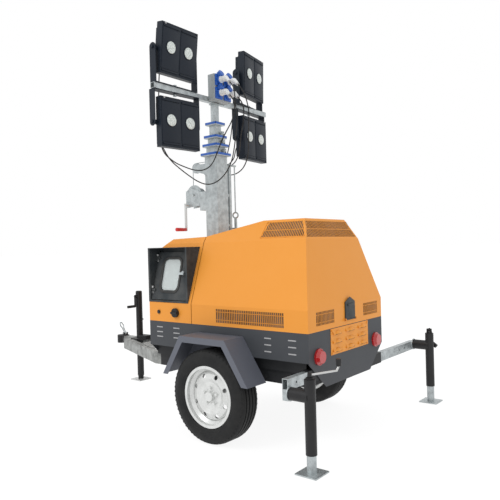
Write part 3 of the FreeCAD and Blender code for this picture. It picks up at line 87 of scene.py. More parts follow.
# ---- Lamp cables --------------------------------------------------------
# Four rubber-sheathed leads, one from each plug to the gland behind its
# lamp, hanging in loose loops below the crossbar.
def dusty_colour_group():
    """Node group: a colour broken up by soft noise, so no surface is one flat tone."""
    group = bpy.data.node_groups.new("dusty_colour", "ShaderNodeTree")
    for name, kind, value in (("Colour", "NodeSocketColor", (0.5, 0.5, 0.5, 1)),
                              ("Dust", "NodeSocketColor", (0.5, 0.45, 0.4, 1)),
                              ("Amount", "NodeSocketFloat", 0.1), ("Scale", "NodeSocketFloat", 6.0)):
        socket = group.interface.new_socket(name, in_out="INPUT", socket_type=kind)
        socket.default_value = value
    group.interface.new_socket("Colour", in_out="OUTPUT", socket_type="NodeSocketColor")
    enter = group.nodes.new("NodeGroupInput")
    leave = group.nodes.new("NodeGroupOutput")
    place = group.nodes.new("ShaderNodeTexCoord")
    noise = group.nodes.new("ShaderNodeTexNoise")
    noise.inputs["Detail"].default_value = 5.0
    noise.inputs["Roughness"].default_value = 0.65
    spread = group.nodes.new("ShaderNodeMapRange")
    spread.inputs["From Min"].default_value = 0.4
    spread.inputs["From Max"].default_value = 0.72
    strength = group.nodes.new("ShaderNodeMath")
    strength.operation = "MULTIPLY"
    blend = group.nodes.new("ShaderNodeMix")
    blend.data_type = "RGBA"
    link = group.links.new
    link(place.outputs["Object"], noise.inputs["Vector"])
    link(enter.outputs["Scale"], noise.inputs["Scale"])
    link(noise.outputs["Fac"], spread.inputs["Value"])
    link(spread.outputs["Result"], strength.inputs[0])
    link(enter.outputs["Amount"], strength.inputs[1])
    link(strength.outputs["Value"], blend.inputs["Factor"])
    link(enter.outputs["Colour"], blend.inputs[6])
    link(enter.outputs["Dust"], blend.inputs[7])
    link(blend.outputs[2], leave.inputs["Colour"])
    return group


dusty_colour = dusty_colour_group()


def finish_of(name, colour, rough, metallic=0.0, dust=(0.45, 0.42, 0.38), amount=0.1, scale=6.0, coat=0.0,
              grain=0.0, grain_scale=60.0, shine=0.5):
    """A painted, plated or moulded finish: dusty colour, its gloss and a fine surface grain."""
    material = bpy.data.materials.new(name)
    material.use_nodes = True
    tree = material.node_tree
    shader = tree.nodes["Principled BSDF"]
    tone = tree.nodes.new("ShaderNodeGroup")
    tone.node_tree = dusty_colour
    tone.inputs["Colour"].default_value = (*colour, 1)
    tone.inputs["Dust"].default_value = (*dust, 1)
    tone.inputs["Amount"].default_value = amount
    tone.inputs["Scale"].default_value = scale
    tree.links.new(tone.outputs["Colour"], shader.inputs["Base Color"])
    shader.inputs["Roughness"].default_value = rough
    shader.inputs["Metallic"].default_value = metallic
    shader.inputs["Specular IOR Level"].default_value = shine
    shader.inputs["Coat Weight"].default_value = coat
    shader.inputs["Coat Roughness"].default_value = 0.12
    if grain:
        place = tree.nodes.new("ShaderNodeTexCoord")
        noise = tree.nodes.new("ShaderNodeTexNoise")
        noise.inputs["Scale"].default_value = grain_scale
        noise.inputs["Detail"].default_value = 3.0
        bump = tree.nodes.new("ShaderNodeBump")
        bump.inputs["Strength"].default_value = grain
        bump.inputs["Distance"].default_value = 0.001
        tree.links.new(place.outputs["Object"], noise.inputs["Vector"])
        tree.links.new(noise.outputs["Fac"], bump.inputs["Height"])
        tree.links.new(bump.outputs["Normal"], shader.inputs["Normal"])
    return material


cable_rubber = finish_of("cable_rubber", (0.01, 0.01, 0.011), 0.5, amount=0.08, grain=0.1, grain_scale=300,
                         shine=0.25)
cable_diameter = 0.009
plug_drop = 0.05 * math.sqrt(0.5)
plug_mouth_x = -0.301 + plug_drop
plug_low_z = 2.500 - plug_drop
plug_high_z = 2.603 - plug_drop
gland_x = -0.471 - math.hypot(0.005, 0.006) - 0.0004
cable_routes = {
    "lamp_cable_left_lower": [
        (plug_mouth_x, -0.048, plug_low_z), (-0.225, -0.048, 2.424), (-0.222, -0.046, 2.345),
        (-0.250, -0.050, 2.262), (-0.300, -0.070, 2.180), (-0.338, -0.092, 2.095), (-0.362, -0.115, 2.005),
        (-0.405, -0.132, 1.925), (-0.480, -0.150, 1.895), (-0.560, -0.172, 1.908), (-0.618, -0.205, 1.935),
        (-0.650, -0.262, 1.960), (-0.658, -0.325, 1.992), (-0.653, -0.383, 2.022), (-0.640, -0.424, 2.064),
        (-0.634, -0.435, 2.115), (-0.620, -0.435, 2.164), (-0.576, -0.435, 2.202), (-0.526, -0.435, 2.205),
        (gland_x, -0.435, 2.205)],
    "lamp_cable_left_upper": [
        (plug_mouth_x, -0.048, plug_high_z), (-0.222, -0.048, 2.524), (-0.204, -0.064, 2.440),
        (-0.196, -0.062, 2.345), (-0.215, -0.030, 2.250), (-0.250, -0.010, 2.155), (-0.270, -0.008, 2.060),
        (-0.282, -0.024, 1.965), (-0.312, -0.060, 1.870), (-0.368, -0.105, 1.800), (-0.445, -0.136, 1.782),
        (-0.520, -0.160, 1.812), (-0.588, -0.186, 1.862), (-0.648, -0.222, 1.918), (-0.686, -0.296, 1.985),
        (-0.692, -0.372, 2.085), (-0.678, -0.420, 2.195), (-0.660, -0.435, 2.310), (-0.648, -0.435, 2.430),
        (-0.641, -0.435, 2.545), (-0.634, -0.435, 2.625), (-0.621, -0.435, 2.692), (-0.578, -0.435, 2.731),
        (-0.528, -0.435, 2.735), (gland_x, -0.435, 2.735)],
    "lamp_cable_right_lower": [
        (plug_mouth_x, 0.052, plug_low_z), (-0.225, 0.052, 2.424), (-0.222, 0.066, 2.345),
        (-0.250, 0.084, 2.262), (-0.300, 0.112, 2.178), (-0.328, 0.134, 2.098), (-0.368, 0.158, 2.030),
        (-0.430, 0.182, 1.982), (-0.510, 0.205, 1.962), (-0.582, 0.235, 1.955), (-0.635, 0.280, 1.968),
        (-0.656, 0.335, 1.996), (-0.652, 0.387, 2.028), (-0.640, 0.425, 2.070), (-0.634, 0.435, 2.118),
        (-0.620, 0.435, 2.164), (-0.576, 0.435, 2.202), (-0.526, 0.435, 2.205), (gland_x, 0.435, 2.205)],
    "lamp_cable_right_upper": [
        (plug_mouth_x, 0.052, plug_high_z), (-0.222, 0.052, 2.524), (-0.200, 0.074, 2.440),
        (-0.194, 0.096, 2.345), (-0.222, 0.118, 2.258), (-0.244, 0.142, 2.168), (-0.262, 0.162, 2.078),
        (-0.294, 0.180, 1.998), (-0.354, 0.202, 1.935), (-0.440, 0.228, 1.904), (-0.525, 0.250, 1.898),
        (-0.602, 0.278, 1.916), (-0.662, 0.320, 1.962), (-0.693, 0.368, 2.035), (-0.696, 0.405, 2.120),
        (-0.683, 0.428, 2.220), (-0.665, 0.435, 2.330), (-0.650, 0.435, 2.440), (-0.642, 0.435, 2.545),
        (-0.634, 0.435, 2.625), (-0.621, 0.435, 2.692), (-0.578, 0.435, 2.731), (-0.528, 0.435, 2.735),
        (gland_x, 0.435, 2.735)]}
for name, route in cable_routes.items():
    line = bpy.data.curves.new(name + "_sheath", "CURVE")
    line.dimensions = "3D"
    line.bevel_depth = cable_diameter / 2
    line.bevel_resolution = 4
    line.resolution_u = 8
    line.use_fill_caps = True
    spline = line.splines.new("NURBS")
    spline.points.add(len(route) - 1)
    for point, place in zip(spline.points, route):
        point.co = (*place, 1)
    spline.order_u = 3
    spline.use_endpoint_u = True
    cable = bpy.data.objects.new(name + "_sheath", line)
    bpy.context.scene.collection.objects.link(cable)
    line.materials.append(cable_rubber)
    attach(cable, "mast_top")
    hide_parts(name)


# ---- Chassis and drawbar ------------------------------------------------
# Box-section rails and the floor tray are painted near-black; the A-frame
# drawbar, its gusset plates and the outrigger arms are hot-dip galvanised.
def give(node, material, edge=0.0):
    """Puts a finish on a framed piece, with rounded edges when an edge width is given."""
    piece = nodes[node]
    piece.data.materials.clear()
    piece.data.materials.append(material)
    if edge:
        rounding = piece.modifiers.new("rounded_edges", "BEVEL")
        rounding.width = edge
        rounding.segments = 2
        rounding.limit_method = "ANGLE"
        rounding.angle_limit = math.radians(40)
    return piece


chassis_black = finish_of("chassis_black", (0.015, 0.016, 0.018), 0.5, amount=0.25, dust=(0.05, 0.05, 0.05),
                          shine=0.25)
galvanised = finish_of("galvanised", (0.48, 0.52, 0.53), 0.42, 0.65, dust=(0.24, 0.26, 0.27), amount=0.8, scale=22,
                       grain=0.12, grain_scale=90)
black_enamel = finish_of("black_enamel", (0.014, 0.014, 0.015), 0.45, amount=0.2, dust=(0.05, 0.05, 0.05),
                         shine=0.28)
for node in ("chassis_frame", "radiator", "genset"):
    give(node, chassis_black)
for node in ("outrigger_left", "outrigger_right", "rear_jack_leg_left", "rear_jack_leg_right", "coupler_handle"):
    give(node, galvanised, 0.0012)
weathered_zinc = finish_of("weathered_zinc", (0.34, 0.35, 0.34), 0.5, 0.5, dust=(0.07, 0.07, 0.068), amount=0.85,
                           scale=16, grain=0.15, grain_scale=90)
give("drawbar", weathered_zinc, 0.0012)
for node in ("coupler_housing", "rear_jack_tube_left", "rear_jack_tube_right", "rear_jack_crank_right",
             "front_jack_tube", "front_jack_leg", "front_jack_crank", "cooling_fan"):
    give(node, black_enamel, 0.0012)

# ---- Body panels --------------------------------------------------------
# Folded sheet steel: a dark grey lower body and mudguards, and an orange
# canopy in two halves, the rear one tipping up on its roof hinges.
body_grey = finish_of("body_grey", (0.046, 0.05, 0.057), 0.5, amount=0.1, dust=(0.09, 0.09, 0.09), shine=0.3)
guard_grey = finish_of("guard_grey", (0.105, 0.113, 0.138), 0.5, amount=0.12, dust=(0.14, 0.15, 0.17), shine=0.35)
body_orange = finish_of("body_orange", (0.72, 0.28, 0.038), 0.42, amount=0.05, dust=(0.85, 0.42, 0.12), shine=0.25)
door_grey = finish_of("door_grey", (0.024, 0.03, 0.034), 0.58, amount=0.12, shine=0.25)
give("lower_body", body_grey, 0.0015)
give("mudguards", guard_grey, 0.0015)
for node in ("canopy_front", "canopy_hood", "rear_panel"):
    give(node, body_orange, 0.002)
for node in ("door_surround", "control_door", "hood_latch"):
    give(node, door_grey, 0.0012)
give("fuel_cap", black_enamel, 0.001)
give("fuel_tank", black_enamel)
give("battery", black_enamel)
give("control_panel", finish_of("panel_grey", (0.35, 0.37, 0.38), 0.5))
red_lens = finish_of("red_lens", (0.42, 0.008, 0.01), 0.15, coat=0.6, amount=0.05)
give("tail_lights", red_lens, 0.002)
give("emergency_stop", red_lens, 0.001)
pane = bpy.data.materials.new("clear_pane")
pane.use_nodes = True
pane_shader = pane.node_tree.nodes["Principled BSDF"]
pane_shader.inputs["Base Color"].default_value = (0.78, 0.84, 0.83, 1)
pane_shader.inputs["Roughness"].default_value = 0.06
pane_shader.inputs["Transmission Weight"].default_value = 0.45
give("door_window", pane)
give("door_latch", galvanised, 0.001)

# ---- Running gear -------------------------------------------------------
# Pressed steel wheels in silver paint, each bolted to a five-stud hub that
# turns on a stub axle, and radial tyres fitted over their rims.
wheel_silver = finish_of("wheel_silver", (0.68, 0.69, 0.68), 0.36, 0.45, amount=0.4, dust=(0.42, 0.42, 0.41),
                         scale=16)
tyre_rubber = finish_of("tyre_rubber", (0.011, 0.0115, 0.012), 0.62, amount=0.22, dust=(0.05, 0.047, 0.044),
                        scale=14, grain=0.2, grain_scale=220, shine=0.2)
for side in ("left", "right"):
    give("wheel_" + side, wheel_silver, 0.001)

# ---- Mast ---------------------------------------------------------------
# Five nested galvanised box tubes, guided by blue plastic collars and
# wound up by a hand winch on the front face.
for node in ("mast_section_1", "mast_section_2", "mast_section_3", "mast_section_4", "mast_head", "winch_drum",
             "mast_pulley"):
    give(node, galvanised, 0.001)

# ---- Floodlights --------------------------------------------------------
# Four LED floodlights, each a black die-cast body with cooling fins, held in
# a flat-bar yoke that is bolted to the crossbar.
lamp_black = finish_of("lamp_black", (0.008, 0.013, 0.022), 0.45, amount=0.1, dust=(0.04, 0.045, 0.05), shine=0.25)
for side in ("left", "right"):
    for level_name in ("upper", "lower"):
        give("lamp_yoke_%s_%s" % (side, level_name), lamp_black, 0.001)
        give("lamp_%s_%s" % (side, level_name), lamp_black, 0.0015)

# ---- Body details -------------------------------------------------------
# Perforated grilles fill the hood's openings; they are folded from the same orange sheet, with upright slots punched
# in rows over a flat black backing sheet of painted shade that stands for the dark space behind them.
def settle(piece, material, body):
    """Applies a finished piece's placing, gives it its finish and fixes it to its body."""
    bpy.ops.object.select_all(action="DESELECT")
    piece.select_set(True)
    bpy.context.view_layer.objects.active = piece
    bpy.ops.object.transform_apply(location=True, rotation=True, scale=True)
    piece.data.materials.clear()
    piece.data.materials.append(material)
    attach(piece, body)
    return piece


def bar(low, high):
    """One squared bar between two corners, left selected for joining."""
    bpy.ops.object.select_all(action="DESELECT")
    middle = [(a + b) / 2 for a, b in zip(low, high)]
    bpy.ops.mesh.primitive_cube_add(size=1, location=middle)
    piece = bpy.context.object
    piece.scale = [abs(b - a) for a, b in zip(low, high)]
    bpy.ops.object.transform_apply(location=True, rotation=True, scale=True)
    return piece


def weld(name, pieces, rounding=0.0, segments=2):
    """Joins pieces into one named object, with its edges rounded."""
    bpy.ops.object.select_all(action="DESELECT")
    for piece in pieces:
        piece.select_set(True)
    bpy.context.view_layer.objects.active = pieces[0]
    if len(pieces) > 1:
        bpy.ops.object.join()
    whole = bpy.context.object
    whole.name = name
    whole.data.name = name
    if rounding:
        bevel = whole.modifiers.new("rounded", "BEVEL")
        bevel.width = rounding
        bevel.segments = segments
        bevel.limit_method = "ANGLE"
        bevel.angle_limit = math.radians(40)
        bpy.ops.object.modifier_apply(modifier=bevel.name)
    bpy.ops.object.shade_smooth_by_angle(angle=math.radians(35))
    return whole


def moved(piece, matrix):
    """Turns and places a piece that was made flat at the origin."""
    piece.data.transform(matrix)
    return piece


# Flat black painted shade: the sheet behind the grille slots and the bars under the louvres stand for the dark
# hollows there.
painted_shade_black = finish_of("painted_shade_black", (0.006, 0.006, 0.006), 0.8, amount=0.2)


def grille(name, width_low, width_high, height, columns, rows, depth, matrix):
    """A slotted sheet lying in its own X-Z plane: bars between the columns and rows, over a black backing sheet of
    painted shade.
    """
    def half_width(z):
        return (width_low + (width_high - width_low) * z / height) / 2

    half_web = 0.0022
    bars = []
    level_z = 0.0
    edges = [0.0]
    for row in rows:
        level_z += row * height
        edges.append(level_z)
    for z in edges:
        half = half_width(z)
        bars.append(bar((-half, 0, z - half_web), (half, depth, z + half_web)))
    pitch = width_low / columns
    for k in range(columns + 1):
        x = -width_low / 2 + pitch * k
        top = height
        slope = (width_low - width_high) / 2 / height
        if slope > 0 and abs(x) > width_high / 2:
            top = max(0.0, (width_low / 2 - abs(x)) / slope)
        if top > 0.004:
            bars.append(bar((x - half_web, 0, 0), (x + half_web, depth, min(top, height))))
    sheet_piece = weld(name, bars)
    moved(sheet_piece, matrix)
    settle(sheet_piece, body_orange, "hood")
    half_low, half_high = width_low / 2, width_high / 2
    # The backing sheet is painted shade: flat black standing for the dark space behind the slots.
    back = bar((-half_low, depth, 0), (half_low, depth + 0.0004, height))
    for vertex in back.data.vertices:
        if vertex.co.z > height / 2:
            vertex.co.x *= half_high / half_low
    back = weld(name + "_shade_backing", [back])
    moved(back, matrix)
    settle(back, painted_shade_black, "hood")


quarter = Matrix.Rotation(math.pi / 2, 4, "Z")
half_turn = Matrix.Rotation(math.pi, 4, "Z")
body_side = 0.497
body_back = 0.686
set_in = 0.0002
side_rows = (0.22, 0.56, 0.22)
grille_depth = 0.0024
grille("hood_grille_left", 0.572, 0.572, 0.097, 37, side_rows, grille_depth,
       Matrix.Translation((0.221, -body_side + set_in, 0.776)))
grille("hood_grille_right", 0.572, 0.572, 0.097, 37, side_rows, grille_depth,
       Matrix.Translation((0.221, body_side - set_in, 0.776)) @ half_turn)
grille("hood_grille_rear_left", 0.221, 0.221, 0.089, 14, side_rows, grille_depth,
       Matrix.Translation((body_back - set_in, -0.2925, 0.787)) @ quarter)
grille("hood_grille_rear_right", 0.215, 0.215, 0.089, 14, side_rows, grille_depth,
       Matrix.Translation((body_back - set_in, 0.3235, 0.787)) @ quarter)
hump_foot_z = 1.331
hump_rise = 0.140
hump_grille_z = 1.345
hump_grille_height = 0.110
hump_rows = (0.5, 0.5)
hump_set_in = 0.0004
side_run = 0.087
side_lean = math.atan2(side_run, hump_rise)
side_y = 0.348 - side_run / hump_rise * (hump_grille_z - hump_foot_z)
for name, sign in (("left", -1), ("right", 1)):
    turn = Matrix.Identity(4) if sign < 0 else half_turn
    grille("hump_grille_" + name, 0.363, 0.290, hump_grille_height / math.cos(side_lean), 27, hump_rows,
           grille_depth, Matrix.Translation((0.3935, sign * (side_y - hump_set_in), hump_grille_z)) @ turn
           @ Matrix.Rotation(-side_lean, 4, "X"))
rear_run = 0.063
rear_lean = math.atan2(rear_run, hump_rise)
rear_x = 0.590 - rear_run / hump_rise * (hump_grille_z - hump_foot_z)
grille("hump_grille_rear", 0.650, 0.510, hump_grille_height / math.cos(rear_lean), 40, hump_rows, grille_depth,
       Matrix.Translation((rear_x - hump_set_in, 0, hump_grille_z)) @ quarter
       @ Matrix.Rotation(-rear_lean, 4, "X"))

# The lower body has groups of three narrow pressed slots on each side.
slot_grey = finish_of("slot_grey", (0.33, 0.33, 0.34), 0.45)
front_heights = (0.711, 0.675, 0.640)
rear_heights = (0.704, 0.662, 0.619)
for name, sign in (("left", -1), ("right", 1)):
    slots = []
    for low_x, high_x, heights in ((-0.664, -0.600, front_heights), (-0.488, -0.424, front_heights),
                                   (0.350, 0.404, rear_heights), (0.536, 0.596, rear_heights)):
        for z in heights:
            slots.append(bar((low_x, sign * body_side, z - 0.004), (high_x, sign * (body_side + 0.0015), z + 0.004)))
    settle(weld("body_slots_" + name, slots, 0.0006), slot_grey, "chassis")

# The rear access panel's louvres are pressed hoods, each open along its foot; a thin black bar under each foot is
# painted shade for the dark opening.
hoods, shade_slit_bars = [], []
panel_face = 0.690
for column in range(3):
    for row in range(3):
        y = -0.237 + 0.510 * (column + 0.5) / 3
        z = 0.582 + 0.168 * (row + 0.5) / 3
        bpy.ops.object.select_all(action="DESELECT")
        foot = (panel_face, y, z - 0.009)
        bpy.ops.mesh.primitive_uv_sphere_add(segments=32, ring_count=16, radius=1.0, location=foot)
        louvre = bpy.context.object
        louvre.scale = (0.0145, 0.040, 0.022)
        bpy.ops.object.transform_apply(location=True, rotation=True, scale=True)
        bpy.ops.object.mode_set(mode="EDIT")
        bpy.ops.mesh.select_all(action="SELECT")
        bpy.ops.mesh.bisect(plane_co=foot, plane_no=(0, 0, 1), clear_inner=True, use_fill=True)
        bpy.ops.object.mode_set(mode="OBJECT")
        hoods.append(louvre)
        # A thin black bar under each hood: painted shade for the open slit.
        shade_slit_bars.append(bar((0.6895, y - 0.036, z - 0.0115), (0.7005, y + 0.036, z - 0.0093)))
settle(weld("panel_louvres", hoods), body_orange, "chassis")
settle(weld("panel_louvre_painted_shade", shade_slit_bars), painted_shade_black, "chassis")

# ---- Floodlight details -------------------------------------------------
# Each floodlight is a black casting with two clear moulded lenses in dark
# rims, raised bars along top and bottom, four screws and a pale vent cap.
def disc_forward(x, y, z, radius, depth, sides=48):
    """A short round piece whose axis runs fore and aft."""
    bpy.ops.object.select_all(action="DESELECT")
    bpy.ops.mesh.primitive_cylinder_add(vertices=sides, radius=radius, depth=depth,
                                        location=(x + depth / 2, y, z), rotation=(0, math.pi / 2, 0))
    piece = bpy.context.object
    bpy.ops.object.transform_apply(location=True, rotation=True, scale=True)
    return piece


lens_clear = bpy.data.materials.new("lens_clear")
lens_clear.use_nodes = True
lens_shader = lens_clear.node_tree.nodes["Principled BSDF"]
lens_shader.inputs["Roughness"].default_value = 0.12
lens_place = lens_clear.node_tree.nodes.new("ShaderNodeTexCoord")
lens_cells = lens_clear.node_tree.nodes.new("ShaderNodeTexVoronoi")
lens_cells.inputs["Scale"].default_value = 110.0
lens_tone = lens_clear.node_tree.nodes.new("ShaderNodeMix")
lens_tone.data_type = "RGBA"
lens_tone.inputs[6].default_value = (0.80, 0.86, 0.83, 1)
lens_tone.inputs[7].default_value = (0.30, 0.34, 0.32, 1)
lens_clear.node_tree.links.new(lens_place.outputs["Object"], lens_cells.inputs["Vector"])
lens_clear.node_tree.links.new(lens_cells.outputs["Distance"], lens_tone.inputs["Factor"])
lens_clear.node_tree.links.new(lens_tone.outputs[2], lens_shader.inputs["Base Color"])
lens_shader.inputs["Coat Weight"].default_value = 1.0
lens_rim = finish_of("lens_rim", (0.05, 0.055, 0.055), 0.35)
lamp_places = {"left_upper": (-0.435, 2.735, 6.5, 0.0), "left_lower": (-0.435, 2.205, 0.0, -5.0),
               "right_upper": (0.435, 2.735, 1.5, 11.0), "right_lower": (0.435, 2.205, 0.0, 6.0)}
mast_x = -0.471
lens_z = 0.014
for name, (lamp_y, lamp_z, tilt, pan) in lamp_places.items():
    place = (Matrix.Translation((mast_x, lamp_y, lamp_z)) @ Matrix.Rotation(math.radians(pan), 4, "Z")
             @ Matrix.Rotation(math.radians(tilt), 4, "Y"))
    face = 0.060
    outer = -1 if lamp_y < 0 else 1
    parts = []
    for sign in (-1, 1):
        parts.append(bar((face, sign * 0.006, -0.145), (face + 0.003, sign * 0.172, 0.145)))
        parts.append(bar((face, sign * 0.010, 0.150), (face + 0.007, sign * 0.168, 0.162)))
        parts.append(bar((face, sign * 0.010, -0.162), (face + 0.007, sign * 0.168, -0.150)))
        for z in (-0.172, 0.172):
            parts.append(disc_forward(face, sign * 0.168, z, 0.006, 0.004, 12))
    casting = weld("lamp_face_" + name, parts, 0.0012)
    moved(casting, place)
    settle(casting, lamp_black, "lamp_" + name)
    rings, lenses, rims = [], [], []
    for sign in (-1, 1):
        y = sign * 0.088
        bpy.ops.object.select_all(action="DESELECT")
        bpy.ops.mesh.primitive_torus_add(major_radius=0.0455, minor_radius=0.0032, major_segments=48,
                                         minor_segments=10, location=(face + 0.005, y, lens_z),
                                         rotation=(0, math.pi / 2, 0))
        rings.append(bpy.context.object)
        bpy.ops.object.transform_apply(location=True, rotation=True, scale=True)
        bpy.ops.object.select_all(action="DESELECT")
        bpy.ops.mesh.primitive_uv_sphere_add(segments=40, ring_count=20, radius=0.0435,
                                             location=(face + 0.004, y, lens_z))
        dome = bpy.context.object
        dome.scale = (0.25, 1, 1)
        bpy.ops.object.transform_apply(location=True, rotation=True, scale=True)
        lenses.append(dome)
        rims.append(disc_forward(face + 0.0006, y, lens_z, 0.0475, 0.0012, 40))
    settle(moved(weld("lamp_rings_" + name, rings), place), lamp_black, "lamp_" + name)
    settle(moved(weld("lamp_lenses_" + name, lenses), place), lens_clear, "lamp_" + name)
    settle(moved(weld("lamp_rims_" + name, rims), place), lens_rim, "lamp_" + name)
    cap_y = outer * 0.150
    vent = weld("lamp_vent_" + name, [disc_forward(face, cap_y, 0.172, 0.007, 0.007, 20)], 0.001)
    settle(moved(vent, place), slot_grey, "lamp_" + name)

# ---- Mast collars -------------------------------------------------------
# Moulded blue plastic guide frames, one clipped round the collar at the top
# of each mast section.
collar_blue = finish_of("collar_blue", (0.01, 0.09, 0.42), 0.4, amount=0.15, dust=(0.2, 0.3, 0.5), scale=30)
collars = (("mast_base", 2.020, 0.165, 0.175), ("mast_second", 2.092, 0.145, 0.150),
           ("mast_third", 2.160, 0.127, 0.130), ("mast_fourth", 2.265, 0.110, 0.110))
proud = 0.0012
thick = 0.004
for body, collar_z, size_x, size_y in collars:
    low_x, high_x = mast_x - size_x / 2 - proud, mast_x + size_x / 2 + proud
    half_y = size_y / 2 + proud
    low_z, high_z = collar_z + 0.006, collar_z + 0.024
    strips = [bar((low_x, -half_y, low_z), (low_x + thick, half_y, high_z)),
              bar((high_x - thick, -half_y, low_z), (high_x, half_y, high_z)),
              bar((low_x, -half_y, low_z), (high_x, -half_y + thick, high_z)),
              bar((low_x, half_y - thick, low_z), (high_x, half_y, high_z))]
    settle(weld(body + "_guide", strips, 0.0008), collar_blue, body)

# ---- Sockets and plugs --------------------------------------------------
# A grey moulded socket box carries four blue panel sockets with hinged lids,
# and a white angled plug with a ribbed nut sits in each.
def round_run(start, end, radius_start, radius_end, sides=32):
    """A straight round piece between two points, tapering if its ends differ."""
    a, b = Vector(start), Vector(end)
    bpy.ops.object.select_all(action="DESELECT")
    bpy.ops.mesh.primitive_cone_add(vertices=sides, radius1=radius_start, radius2=radius_end, depth=(b - a).length,
                                    location=(a + b) / 2)
    piece = bpy.context.object
    piece.rotation_mode = "QUATERNION"
    piece.rotation_quaternion = (b - a).to_track_quat("Z", "Y")
    bpy.ops.object.transform_apply(location=True, rotation=True, scale=True)
    return piece


cased_grey = finish_of("cased_grey", (0.30, 0.33, 0.34), 0.45, amount=0.2, dust=(0.45, 0.47, 0.47))
box_front = -0.383
case = weld("socket_case", [bar((-0.451, -0.095, 2.446), (box_front, 0.100, 2.650))], 0.004)
settle(case, cased_grey, "mast_top")
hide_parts("junction_box")
sockets, lids, plugs, nuts_of = [], [], [], []
for y in (-0.048, 0.052):
    for z in (2.500, 2.603):
        sockets.append(bar((box_front, y - 0.040, z - 0.044), (box_front + 0.010, y + 0.040, z + 0.044)))
        sockets.append(disc_forward(box_front + 0.008, y, z, 0.031, 0.022))
        lids.append(bar((box_front + 0.010, y - 0.026, z + 0.030), (box_front + 0.016, y + 0.026, z + 0.042)))
        lids.append(round_run((box_front + 0.012, y, z + 0.036), (box_front + 0.038, y, z + 0.052), 0.027, 0.027))
        front_x = box_front + 0.012
        plugs.append(disc_forward(front_x + 0.010, y, z, 0.0225, 0.062))
        plugs.append(disc_forward(front_x + 0.016, y, z, 0.0265, 0.010))
        elbow = (front_x + 0.066, y, z + 0.004)
        tail = (front_x + 0.070 + plug_drop, y, z - plug_drop)
        plugs.append(round_run(elbow, tail, 0.0205, 0.0125))
        nuts_of.append(round_run((tail[0] - 0.013, y, tail[2] + 0.013), tail, 0.0145, 0.0135, 12))
socket_piece = weld("sockets", sockets, 0.0012)
settle(socket_piece, collar_blue, "mast_top")
settle(weld("socket_lids", lids, 0.001), collar_blue, "mast_top")
plug_white = finish_of("plug_white", (0.70, 0.71, 0.71), 0.38, amount=0.1)
plug_piece = weld("plug_bodies", plugs, 0.0012)
settle(plug_piece, plug_white, "mast_top")
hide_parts("lamp_plugs")
settle(weld("plug_nuts", nuts_of, 0.0008), slot_grey, "mast_top")

# ---- Tyres --------------------------------------------------------------
# Radial road tyres: a moulded carcass with four tread grooves, sixty
# shoulder blocks and a raised bead line on each wall.
def turned_ring(name, stations, centre, sides=96):
    """A closed section swept round an axle: a circle extruded and resized from station to station."""
    bpy.ops.object.select_all(action="DESELECT")
    first_radius, first_along = stations[0]
    bpy.ops.mesh.primitive_circle_add(vertices=sides, radius=first_radius, location=(0, 0, 0))
    piece = bpy.context.object
    bpy.ops.object.mode_set(mode="EDIT")
    bpy.ops.mesh.select_all(action="SELECT")
    radius, along = first_radius, first_along
    for next_radius, next_along in stations[1:] + stations[:1]:
        bpy.ops.mesh.extrude_region_move(TRANSFORM_OT_translate={"value": (0, 0, next_along - along)})
        ratio = next_radius / radius
        bpy.ops.transform.resize(value=(ratio, ratio, 1), center_override=(0, 0, 0))
        radius, along = next_radius, next_along
    bpy.ops.mesh.select_all(action="SELECT")
    bpy.ops.mesh.remove_doubles(threshold=0.00002)
    bpy.ops.mesh.normals_make_consistent(inside=False)
    bpy.ops.object.mode_set(mode="OBJECT")
    piece.name = name
    piece.data.transform(Matrix.Translation(centre) @ Matrix.Rotation(-math.pi / 2, 4, "X")
                         @ Matrix.Translation((0, 0, first_along)))
    bpy.ops.object.shade_smooth_by_angle(angle=math.radians(32))
    return piece


tread = []
groove_depth = 0.008
edge_of_tread = 0.066
tyre_radius = 0.312
wheel_y = 0.600
for middle in (-0.044, -0.0155, 0.0155, 0.044):
    tread += [(tyre_radius, middle - 0.005), (tyre_radius - groove_depth, middle - 0.0035),
              (tyre_radius - groove_depth, middle + 0.0035), (tyre_radius, middle + 0.005)]
section = ([(0.190, -0.069), (0.205, -0.069), (0.211, -0.079), (0.222, -0.0835), (0.226, -0.0835), (0.228, -0.0855),
            (0.250, -0.088), (0.268, -0.0875), (0.270, -0.0865), (0.292, -0.082), (0.304, -0.073),
            (0.3095, -edge_of_tread + 0.004)]
           + tread + [(0.3095, edge_of_tread - 0.004), (0.304, 0.073), (0.292, 0.082), (0.270, 0.0865),
                      (0.268, 0.0875), (0.250, 0.088), (0.228, 0.0855), (0.226, 0.0835), (0.222, 0.0835),
                      (0.211, 0.079), (0.205, 0.069), (0.190, 0.069), (0.190, 0.050), (0.202, 0.050),
                      (0.240, 0.070), (0.290, 0.055), (0.298, 0.0), (0.290, -0.055), (0.240, -0.070),
                      (0.202, -0.050), (0.190, -0.050)])
block_count = 60
for side, sign in (("left", -1), ("right", 1)):
    hub = (0, sign * wheel_y, tyre_radius)
    carcass = turned_ring("tyre_carcass_" + side, section, hub)
    blocks = []
    for k in range(block_count):
        angle = math.tau * k / block_count
        for wall in (-1, 1):
            lug = bar((-0.0052, wall * 0.0575, 0.3035), (0.0052, wall * 0.0805, 0.3112))
            for vertex in lug.data.vertices:
                if abs(vertex.co.y) > 0.07:
                    vertex.co.z -= 0.0115
            lug.data.transform(Matrix.Translation(hub) @ Matrix.Rotation(angle, 4, "Y"))
            blocks.append(lug)
    lugs = weld("tyre_shoulder_" + side, blocks)
    settle(carcass, tyre_rubber, "wheel_" + side)
    settle(lugs, tyre_rubber, "wheel_" + side)
    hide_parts("tyre_" + side)

